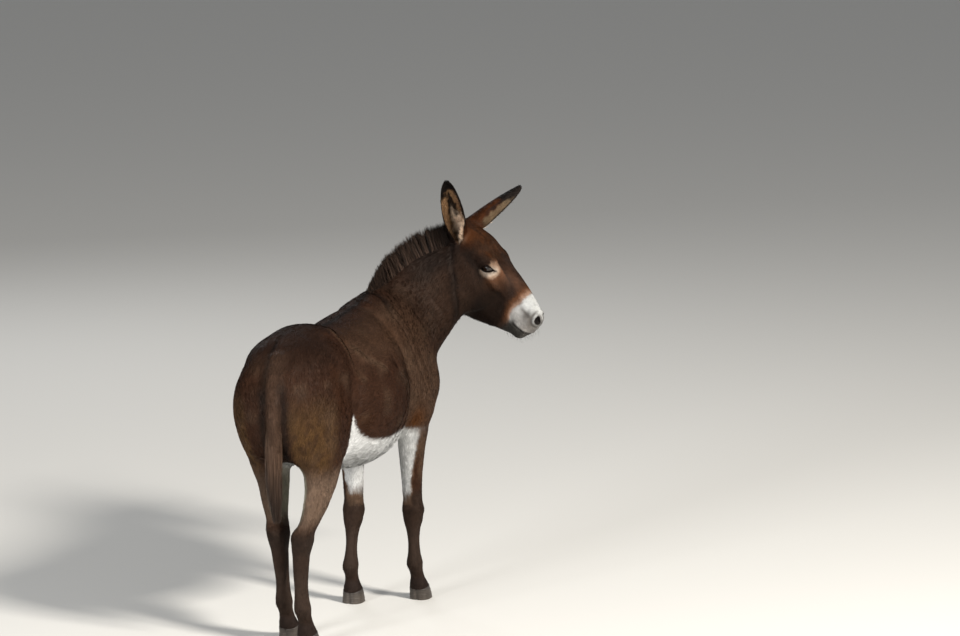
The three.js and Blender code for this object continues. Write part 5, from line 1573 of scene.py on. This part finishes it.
# ------------------------------------------------------------ short coat
me = skin_mesh
me.calc_loop_triangles()
tri = np.zeros(len(me.loop_triangles) * 3, np.int32)
me.loop_triangles.foreach_get("vertices", tri)
tri = tri.reshape(-1, 3)
A3, B3, C3 = P[tri[:, 0]], P[tri[:, 1]], P[tri[:, 2]]
area = np.linalg.norm(np.cross(B3 - A3, C3 - A3), axis=1) / 2
mid_part = info[0][tri[:, 0]]
mid = (A3 + B3 + C3) / 3
# tufts for each square mm of skin, by part
DENSITY = dict(trunk=0.105, neck=0.15, head=0.20, hind_right=0.125, hind_left=0.125, fore_right=0.13, fore_left=0.13, ear_right=0.16, ear_left=0.16, tail=0.16)
dens = np.array([DENSITY[k] for k in PARTS])[mid_part]
dens = np.where((mid[:, 2] < 420), 0.16, dens)
# bare places: lid rims, eyes, inside the nostrils, the lips
qm = to_head(mid)
bare = np.zeros(len(mid), bool)
for s_ in (1, -1):
    a, b, o = eye_coords(qm, s_)
    bare |= (slit(a, b) < 4.0) & (o > 0) & (np.hypot(a, b) < 40)
nn = np.stack([qm[:, 0] - NOSTRIL[0], qm[:, 1] - NOSTRIL[1], np.abs(qm[:, 2]) - NOSTRIL[2]], 1)
bare |= np.linalg.norm(nn / np.array([18, 14, 17]), axis=1) < 1.2
bare |= (qm[:, 0] > 408) & (np.abs(qm[:, 1] - MOUTH(qm[:, 0])[1]) < 5) & (qm[:, 0] < 520) & (np.abs(qm[:, 2]) < 60)
dens = np.where(bare, 0, dens)
muzzle = sst(385, 430, qm[:, 0]) * (qm[:, 0] < 520) * (np.abs(qm[:, 2]) < 70)
dens = dens * (1 - 0.45 * muzzle)
count = rng.poisson(area * dens)
pick = np.repeat(np.arange(len(tri)), count)
r1, r2 = rng.random(len(pick)), rng.random(len(pick))
flip = r1 + r2 > 1
r1[flip], r2[flip] = 1 - r1[flip], 1 - r2[flip]
R0 = A3[pick] * (1 - r1 - r2)[:, None] + B3[pick] * r1[:, None] + C3[pick] * r2[:, None]
N0 = unit(NRM[tri[pick, 0]] * (1 - r1 - r2)[:, None] + NRM[tri[pick, 1]] * r1[:, None] + NRM[tri[pick, 2]] * r2[:, None])
said("tufts %d" % len(R0))
inf = lie(R0, N0)
C0 = colours(R0, N0, inf)
pid, flow = inf[0], inf[2]
said("tuft colours")
# slow swirls of the lie, and each tuft's own scatter
swirl = 0.30 * noise(R0, 46, 51) + 0.22 * noise(R0, 17, 52) + rng.normal(0, 0.16, len(R0))
flow = turn_about(flow, N0, swirl)
zz = R0[:, 2]
LONG = dict(trunk=17, neck=20, head=8.5, hind_right=15, hind_left=15, fore_right=14, fore_left=14, ear_right=9, ear_left=9, tail=22)
length = np.array([LONG[k] for k in PARTS], float)[pid]
length = np.where((pid >= 3) & (pid <= 6), lerp(7.0, length, sst(300, 600, zz)), length)
qh = inf[4]
under = sst(-0.2, -0.8, N0[:, 2]) * (pid == 0)
length = length * (1 + 0.5 * under)
# longer hair under the jaw and the throat, behind the fetlocks
jaw = (pid == 2) * sst(-110, -170, qh[:, 1])
length = length * (1 + 1.1 * jaw)
length = np.where((pid == 2), length * (1 - 0.45 * sst(330, 420, qh[:, 0])), length)
fet = np.zeros(len(R0))
for i, nme in enumerate(LEGS):
    _, cx, cy, a, f, b, nn_ = leg_tables[nme](zz)
    fet = np.maximum(fet, (pid == PARTS.index(nme)) * gauss(zz - 135, 22) * sst(0.2, 0.9, N0[:, 1]))
length = length * (1 + 1.6 * fet)
length = length * rng.uniform(0.75, 1.25, len(R0))
width = np.where(pid == 2, 1.5, 2.1) * rng.uniform(0.75, 1.25, len(R0))
width = np.where(zz < 420, 1.5, width)
lift = length * (0.10 + 0.05 * noise(R0, 30, 53) + rng.uniform(-0.02, 0.05, len(R0)))
lift = lift + 0.08 * length * under + 0.10 * length * jaw + 0.22 * length * fet
across = unit(np.cross(N0, flow))
across = turn_about(across, flow, rng.normal(0, 0.30, len(R0)))
shade = rng.normal(1.0, 0.13, len(R0)) * (1 + 0.12 * noise(R0, 25, 54))
C0 = C0 * np.clip(shade, 0.55, 1.5)[:, None]
ROOT = R0 - N0 * 0.4


def unwrap(P, pid, inf):
    """A place on an unwrap of each part's own shape, 0 to 1 both ways: round it and along it."""
    x, y, z = P.T
    out = np.zeros((len(P), 2))
    d = np.stack([x, (y + 0) / 2.2, z - 850], 1)
    out[:, 0] = np.arctan2(x, z - 850) / (2 * math.pi) + 0.5
    out[:, 1] = np.arccos(np.clip(unit(d)[:, 1], -1, 1)) / math.pi
    s, lat, dor = inf[3]
    m = pid == 1
    out[m] = np.stack([np.arctan2(lat, dor) / (2 * math.pi) + 0.5, s], 1)[m]
    q = inf[4]
    m = pid == 2
    d = np.stack([q[:, 2], q[:, 1] + 40, (q[:, 0] - 220) / 2.4], 1)
    out[m] = np.stack([np.arctan2(d[:, 0], d[:, 1]) / (2 * math.pi) + 0.5, np.arccos(np.clip(unit(d)[:, 2], -1, 1)) / math.pi], 1)[m]
    for i, nme in enumerate(LEGS):
        m = pid == PARTS.index(nme)
        _, cx, cy, a, f, b, n = leg_tables[nme](z)
        out[m] = np.stack([np.arctan2(x - cx, y - cy) / (2 * math.pi) + 0.5, z / 1050], 1)[m]
    for nme in ears:
        m = np.nonzero(pid == PARTS.index(nme))[0]
        t, share, off, edge, over, thick, inside = ear_coords(nme, q[m])
        side_ = np.where(off > 0, 0.26, 0.74)
        out[m] = np.stack([side_ + 0.23 * np.clip(share, -1, 1), 0.02 + 0.96 * t], 1)
    m = np.nonzero(pid == PARTS.index("tail"))[0]
    s, lat, o, _, _ = tail_coords(P[m])
    out[m] = np.stack([np.arctan2(lat, o) / (2 * math.pi) + 0.5, s / TAIL_END], 1)
    return out


UV0 = unwrap(R0, pid, inf)
mid_y = np.where(pid == 0, R0[:, 1], 0)
piece = np.zeros(len(R0), int)
names = []


def add_piece(name, mask, tiles=None):
    """One coat piece, its part of the unwrap spread over the whole map. Tiles share it side by side."""
    k = np.nonzero(mask)[0]
    if len(k) == 0:
        return
    uv = np.zeros((len(k), 2))
    groups = tiles if tiles is not None else [mask]
    for g, m in enumerate(groups):
        j = np.nonzero(m[k])[0]
        if len(j) == 0:
            continue
        t = UV0[k[j]]
        lo_, hi_ = t.min(0), t.max(0)
        t = (t - lo_) / np.maximum(hi_ - lo_, 1e-6)
        t[:, 0] = (g + 0.02 + 0.96 * t[:, 0]) / len(groups)
        t[:, 1] = 0.01 + 0.98 * t[:, 1]
        uv[j] = t
    strands(name, ROOT[k], flow[k], across[k], length[k], width[k], lift[k], N0[k], C0[k], uv, M_COAT)
    names.append((name, len(k) * 3))


for label, sgn in (("right", -1), ("left", 1)):
    s_m = (R0[:, 0] * sgn > 0) | ((R0[:, 0] == 0) & (sgn > 0))
    add_piece("coat_shoulder_" + label, (pid == 0) & s_m & (R0[:, 1] < -140))
    add_piece("coat_barrel_" + label, (pid == 0) & s_m & (R0[:, 1] >= -140) & (R0[:, 1] < 190))
    add_piece("coat_rump_" + label, (pid == 0) & s_m & (R0[:, 1] >= 190))
    add_piece("coat_neck_" + label, (pid == 1) & (inf[3][1] * sgn > 0))
    add_piece("coat_head_" + label, (pid == 2) & (qh[:, 2] * sgn > 0))
    add_piece("coat_hind_leg_" + label, pid == PARTS.index("hind_" + label))
    add_piece("coat_fore_leg_" + label, pid == PARTS.index("fore_" + label))
er, el, tl = PARTS.index("ear_right"), PARTS.index("ear_left"), PARTS.index("tail")
add_piece("coat_ears", (pid == er) | (pid == el), [pid == er, pid == el])
add_piece("coat_tail", pid == tl)
said("coat %s total %d" % (names, sum(k for _, k in names)))


# ------------------------------------------------------------ mane
mane_table = Table(MANE)


def crest_at(s):
    """The mane's foot from the poll (0) down the crest of the neck to the withers (1)."""
    k = MANE_POLL["share"]
    f = (1 - np.clip((s - k) / (1 - k), 0, 1)) * NECK_STEPS
    i = np.minimum(NECK_STEPS - 1, f.astype(int))
    x = (f - i)[:, None]
    m = neck_all[i] * (1 - x) + neck_all[i + 1] * x
    up = neck_table(f / NECK_STEPS)[2]
    c = m[:, :3] + m[:, 6:9] * up[:, None]
    t = np.clip(s / k, 0, 1)[:, None]
    poll = from_head(np.array(MANE_POLL["at"]))
    c = poll * (1 - t) + c * t
    vup = unit(unit(np.array(MANE_POLL["up"])) @ HM * (1 - t) + unit(m[:, 6:9]) * t)
    vside = unit(HW * (1 - t) + unit(m[:, 3:6]) * t)
    return c, vup, vside, unit(m[:, 9:12])


n = 22000
s = rng.random(n) ** 0.9
_, height, half = mane_table(s)
c, up, sid, tan = crest_at(s)
acr = rng.uniform(-1, 1, n)
clump = noise(np.stack([s * 900, acr * 8, 0 * s], 1), 16, 61)
tall = height * (0.84 + 0.20 * clump + rng.uniform(-0.20, 0.10, n)) * (1 - 0.22 * np.abs(acr))
tall = np.maximum(tall, 6)
base = c + up * (-12 - 10 * acr[:, None] ** 2) + sid * (acr * half * 0.95)[:, None]
go = unit(up + sid * (acr * 0.16 + 0.05 * clump)[:, None] + tan * (0.16 + 0.16 * clump + rng.normal(0, 0.05, n))[:, None])
# neighbours lean together into pointed locks
LOCKS = 230
lock = np.clip(np.floor(s * LOCKS + 0.8 * acr), 0, LOCKS - 1).astype(int) * 3 + np.clip(np.floor((acr + 1) * 1.5), 0, 2).astype(int)
lr = np.random.default_rng(77).uniform(-1, 1, (LOCKS * 3, 4))
ls = np.clip((lock // 3 + 0.5) / LOCKS + 0.006 * lr[lock, 0], 0, 1)
lc, lup, lsid, ltan = crest_at(ls)
_, lh, lw = mane_table(ls)
lacr = ((lock % 3) - 1) * 0.62
point = lc + lup * (lh * (0.95 + 0.16 * lr[lock, 1]))[:, None] + lsid * ((lacr + 0.35 * lr[lock, 2]) * lw)[:, None] + ltan * ((0.18 + 0.22 * lr[lock, 3]) * lh)[:, None]
tip_at = base + go * (tall + 12)[:, None]
pull = (0.42 + rng.uniform(-0.30, 0.28, n))[:, None]
tip_at = tip_at * (1 - pull) + point * pull
go = tip_at - base
tall = np.linalg.norm(go, axis=1) - 12
go = unit(go)
ax_ = unit(np.cross(go, turn_about(tan, up, rng.uniform(-1.4, 1.4, n))))
mcol = np.tile(BLACK * 1.6, (n, 1)) * rng.uniform(0.6, 1.5, n)[:, None]
brown = (sst(-0.3, 0.8, lr[lock, 0] + rng.normal(0, 0.45, n) + 0.5 * np.abs(acr)) * 0.85)[:, None] * sst(0.10, 0.32, s)[:, None]
mcol = mcol * (1 - brown) + np.array([0.058, 0.036, 0.026]) * brown
strands("mane_hair", base, go, ax_, tall + 12, rng.uniform(1.2, 2.3, n), tall * 0.05, unit(tan + sid * 0.3), mcol,
        np.stack([0.02 + 0.96 * (acr + 1) / 2, 0.02 + 0.96 * s], 1), M_LONG, segments=2, dark_root=1.1, light_tip=0.75, replaces=("mane",))
# a dark core keeps the light out between the bristles
ns_, nr = 60, 8
sv = np.linspace(0.0, 1, ns_)
cv, cup, csid, ctan = crest_at(sv)
_, chh, chw = mane_table(sv)
verts = []
for i in range(ns_):
    ring = []
    for k in range(2 * nr):
        a = math.pi * 2 * k / (2 * nr)
        hgt = lerp(-18, max(4, chh[i] * 0.62), 0.5 - 0.5 * math.cos(a))
        wide = math.sin(a) * chw[i] * 0.62 * (1 - 0.35 * max(0, -math.cos(a)))
        ring.append(cv[i] + cup[i] * hgt + csid[i] * wide)
    verts += ring
faces = [(i * 2 * nr + k, i * 2 * nr + (k + 1) % (2 * nr), (i + 1) * 2 * nr + (k + 1) % (2 * nr), (i + 1) * 2 * nr + k) for i in range(ns_ - 1) for k in range(2 * nr)]
core = mesh_object("mane_core", verts, faces)
bm = bmesh.new()
bm.from_mesh(core.data)
bmesh.ops.holes_fill(bm, edges=[e for e in bm.edges if e.is_boundary])
bmesh.ops.recalc_face_normals(bm, faces=bm.faces)
bm.to_mesh(core.data)
bm.free()
set_colour(core.data, np.tile(BLACK, (len(core.data.vertices), 1)))
core.data.materials.append(M_LONG)
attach(core, "root")

# ------------------------------------------------------------ hair in the ears, lashes and whiskers
for name in ears:
    pi = PARTS.index(name)
    k = np.nonzero(pid == pi)[0]
    t, share, off, edge, over, thick, inside = ear_coords(name, qh[k])
    keep = (off < 0) & (t < 0.80) & (rng.random(len(k)) < (0.10 + 0.30 * sst(0.35, 0.85, np.abs(share)) + 0.35 * sst(0.40, 0.15, t)))
    k, t, share = k[keep], t[keep], share[keep]
    if len(k) == 0:
        continue
    _, A, O, S, _ = ears[name]
    m_ = len(k)
    lean = rng.normal(0, 0.20, (m_, 3))
    go = unit((A @ HM) * 1.0 + (O @ HM) * (0.22 + 0.14 * rng.random(m_))[:, None] - (S @ HM) * (0.45 * np.clip(share, -1, 1))[:, None] + lean)
    ln = rng.uniform(10, 21, m_) * (1 + 0.5 * sst(0.45, 0.15, t))
    ax_ = unit(np.cross(go, rng.normal(0, 1, (m_, 3))))
    tone = np.maximum(C0[k] * 1.15, np.array([0.020, 0.013, 0.009]))
    strands("hair_" + name, R0[k] - N0[k] * 0.5, go, ax_, ln, rng.uniform(0.9, 1.5, m_), ln * 0.10, unit(O @ HM) + 0 * go, tone,
            np.clip(np.stack([0.5 + 0.48 * np.clip(share, -1, 1), 0.02 + 0.96 * t], 1), 0, 1), M_LONG, segments=2, dark_root=0.85, light_tip=1.15)
for sgn, label in ((1, "left"), (-1, "right")):
    a_, b_, o_ = EYES[sgn]
    aa = np.concatenate([np.linspace(-21, 17, 46), np.linspace(-16, 14, 20)])
    upper = np.arange(len(aa)) < 46
    xt = (aa + 4) / np.where(aa < -4, 22.0, 30.0)
    bb = np.where(upper, 0.11 * aa - 6.5 + 17.0 * (1 - xt**2) + 1.0, 0.11 * aa - 6.5 - 6.5 * (1 - np.abs(aa / 26) ** 2.4) - 1.0)
    rr_ = EYE["radius"] + 4.6
    oo = np.sqrt(np.maximum(rr_**2 - aa**2 - bb**2, 9))
    qq_ = EYE_C[sgn] + aa[:, None] * a_ + bb[:, None] * b_ + oo[:, None] * o_
    m_ = len(aa)
    dirs = o_ * 1.0 + b_ * np.where(upper, 0.75, -0.75)[:, None] + a_ * (aa / 60 + rng.normal(0, 0.10, m_))[:, None]
    go = unit(dirs) @ HM
    ln = np.where(upper, rng.uniform(6.5, 10, m_), rng.uniform(3.5, 5.5, m_))
    curve = (b_ * np.where(upper, -0.5, -0.6)[:, None]) @ HM
    strands("lash_" + label, from_head(qq_) - go * 3.0, go, unit(np.cross(go, curve + rng.normal(0, 0.2, (m_, 3)))), ln, np.full(m_, 0.7), ln * 0.30, curve, np.tile(BLACK, (m_, 1)),
            np.stack([np.linspace(0.02, 0.98, m_), np.where(upper, 0.7, 0.3)], 1), M_SKIN, segments=3, dark_root=1.0, light_tip=1.0)
k = np.nonzero((pid == 2) & (qh[:, 0] > 396) & (qh[:, 1] < 4) & (np.abs(qh[:, 1] - MOUTH(qh[:, 0])[1]) > 7))[0]
k = rng.choice(k, min(len(k), 150), replace=False)
m_ = len(k)
go = unit(N0[k] + 0.7 * flow[k] + np.array([0, 0, -0.25]) + rng.normal(0, 0.22, (m_, 3)))
ln = rng.uniform(13, 30, m_)
strands("whiskers", R0[k] - N0[k] * 1.0, go, unit(np.cross(go, N0[k] + rng.normal(0, 0.3, (m_, 3)))), ln, rng.uniform(0.45, 0.7, m_), ln * 0.15, np.tile(np.array([0.0, 0, -1]), (m_, 1)),
        np.maximum(C0[k] * 0.6, 0.02), np.clip(UV0[k], 0.02, 0.98), M_LONG, segments=3, dark_root=1.0, light_tip=1.3)
said("ear hair, lashes, whiskers")

# ------------------------------------------------------------ tail tuft
n = 5200
s0 = rng.uniform(0.26, 0.80, n)
f = s0 * TAIL_N
i = np.minimum(TAIL_N - 1, f.astype(int))
x = (f - i)[:, None]
tc = tail_c[i] * (1 - x) + tail_c[i + 1] * x
tt = unit(tail_t[i] * (1 - x) + tail_t[i + 1] * x)
to = unit(tail_out[i] * (1 - x) + tail_out[i + 1] * x)
_, _, _, _, ta, tb = tail_table(s0)
ang = rng.uniform(0, 2 * math.pi, n)
shrink = np.clip((s0 - 0.66) / 0.14, 0, 1)
rad = (1 - shrink * rng.uniform(0, 0.9, n))
side_v = np.stack([np.ones(n), np.zeros(n), np.zeros(n)], 1)
rad_v = side_v * (np.cos(ang) * (ta - 5) * rad)[:, None] + to * (np.sin(ang) * (tb - 5) * rad)[:, None]
base = tc + rad_v
reach = np.minimum(rng.uniform(0.12, 0.34, n) + 0.0, 1.0 - s0)
end_s = np.clip(s0 + reach, 0, 1)
endc = np.stack(tail_table(end_s)[1:4], 1)
_, _, _, _, ea, eb = tail_table(end_s)
squeeze = rng.uniform(0.35, 0.95, n)
endp = endc + side_v * (np.cos(ang) * ea * squeeze)[:, None] + to * (np.sin(ang) * eb * squeeze)[:, None]
run = endp - base
ln = np.linalg.norm(run, axis=1)
go = unit(run)
bulge = unit(rad_v)
tcol = lerp(np.array([0.064, 0.0375, 0.0245]), np.array([0.020, 0.0125, 0.0095]), sst(0.40, 0.72, s0)[:, None]) * rng.uniform(0.6, 1.5, n)[:, None]
strands("tail_hair", base, go, unit(np.cross(go, bulge) + rng.normal(0, 0.25, (n, 3))), ln, rng.uniform(1.8, 3.4, n), ln * 0.045, bulge, tcol,
        np.stack([0.02 + 0.96 * ang / (2 * math.pi), 0.02 + 0.96 * s0], 1), M_LONG, segments=4, dark_root=0.8, light_tip=1.25, replaces=("tail_tuft",))
# core of the tuft: a black core, painted shade inside the tuft between the strands
sv = np.linspace(0.60, 0.985, 40)
cc = np.stack(tail_table(sv)[1:4], 1)
ct = unit(np.gradient(cc, axis=0))
co_ = unit(np.array([0.0, 1, 0]) - ct * ct[:, 1:2])
_, _, _, _, ca, cb = tail_table(sv)
verts = []
for i in range(len(sv)):
    for k in range(16):
        a = 2 * math.pi * k / 16
        verts.append(cc[i] + np.array([1.0, 0, 0]) * math.cos(a) * ca[i] * 0.62 + co_[i] * math.sin(a) * cb[i] * 0.62)
faces = [(i * 16 + k, i * 16 + (k + 1) % 16, (i + 1) * 16 + (k + 1) % 16, (i + 1) * 16 + k) for i in range(len(sv) - 1) for k in range(16)]
core = mesh_object("tail_core", verts, faces)
bm = bmesh.new()
bm.from_mesh(core.data)
bmesh.ops.holes_fill(bm, edges=[e for e in bm.edges if e.is_boundary])
bmesh.ops.recalc_face_normals(bm, faces=bm.faces)
bm.to_mesh(core.data)
bm.free()
set_colour(core.data, np.tile(BLACK, (len(core.data.vertices), 1)))
core.data.materials.append(M_LONG)
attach(core, "root")
said("mane and tail")

# ============================================================ floor, light, camera
bpy.ops.mesh.primitive_plane_add(size=400, location=(0, 0, 0))
floor = bpy.context.object
floor.name = "floor"
fm = bpy.data.materials.new("floor_paper")
fm.use_nodes = True
fb = fm.node_tree.nodes["Principled BSDF"]
fb.inputs["Base Color"].default_value = (0.62, 0.61, 0.58, 1)
fb.inputs["Roughness"].default_value = 0.9
fb.inputs["Specular IOR Level"].default_value = 0.1
floor.data.materials.append(fm)

world = bpy.data.worlds.new("studio")
bpy.context.scene.world = world
world.use_nodes = True
world.node_tree.nodes["Background"].inputs[0].default_value = (0.95, 0.97, 1.0, 1)
world.node_tree.nodes["Background"].inputs[1].default_value = 0.32


def area_light(name, at, target, size, power, colour=(1, 1, 1)):
    data = bpy.data.lights.new(name, "AREA")
    data.energy = power
    data.size = size
    data.color = colour
    ob = bpy.data.objects.new(name, data)
    bpy.context.scene.collection.objects.link(ob)
    ob.location = at
    ob.rotation_euler = (Vector(target) - Vector(at)).to_track_quat("-Z", "Y").to_euler()
    return ob


area_light("key", (-7.4, 2.6, 6.4), (0, 0, 0.8), 1.6, 1560, (1.0, 0.955, 0.89))
area_light("rim", (5.0, -5.0, 5.0), (0, 0, 0.9), 3.0, 120, (0.95, 0.97, 1.0))
# a small soft light that the near eye mirrors towards the camera
ea, eb, eo = [v @ HM for v in EYES[-1]]
half_way = unit(ea * -0.13 + eb * 0.17 + eo * 0.975)
to_cam = unit(np.array([-6102.8, 12699.97, 3503.53]) - from_head(EYE_C[-1]))
to_light = unit(half_way * 2 * half_way.dot(to_cam) - to_cam)
eye_at = (from_head(EYE_C[-1]) + SHIFT) / 1000
area_light("catch", [float(v) for v in eye_at + to_light * 7.0], [float(v) for v in eye_at], 1.6, 300, (1, 1, 1))

cam_data = bpy.data.cameras.new("camera")
cam_data.lens = 144.9
cam_data.sensor_width = 36.0
cam_data.clip_end = 500
cam = bpy.data.objects.new("camera", cam_data)
bpy.context.scene.collection.objects.link(cam)
cam.location = [float(v) for v in (np.array([-6102.8, 12699.97, 3503.53]) + SHIFT) / 1000]
cam.rotation_euler = Vector((0.39328, -0.90448, -0.16505)).to_track_quat("-Z", "Y").to_euler()
bpy.context.scene.camera = cam
bpy.context.scene.view_settings.view_transform = "Standard"

bpy.context.view_layer.update()
said("done")
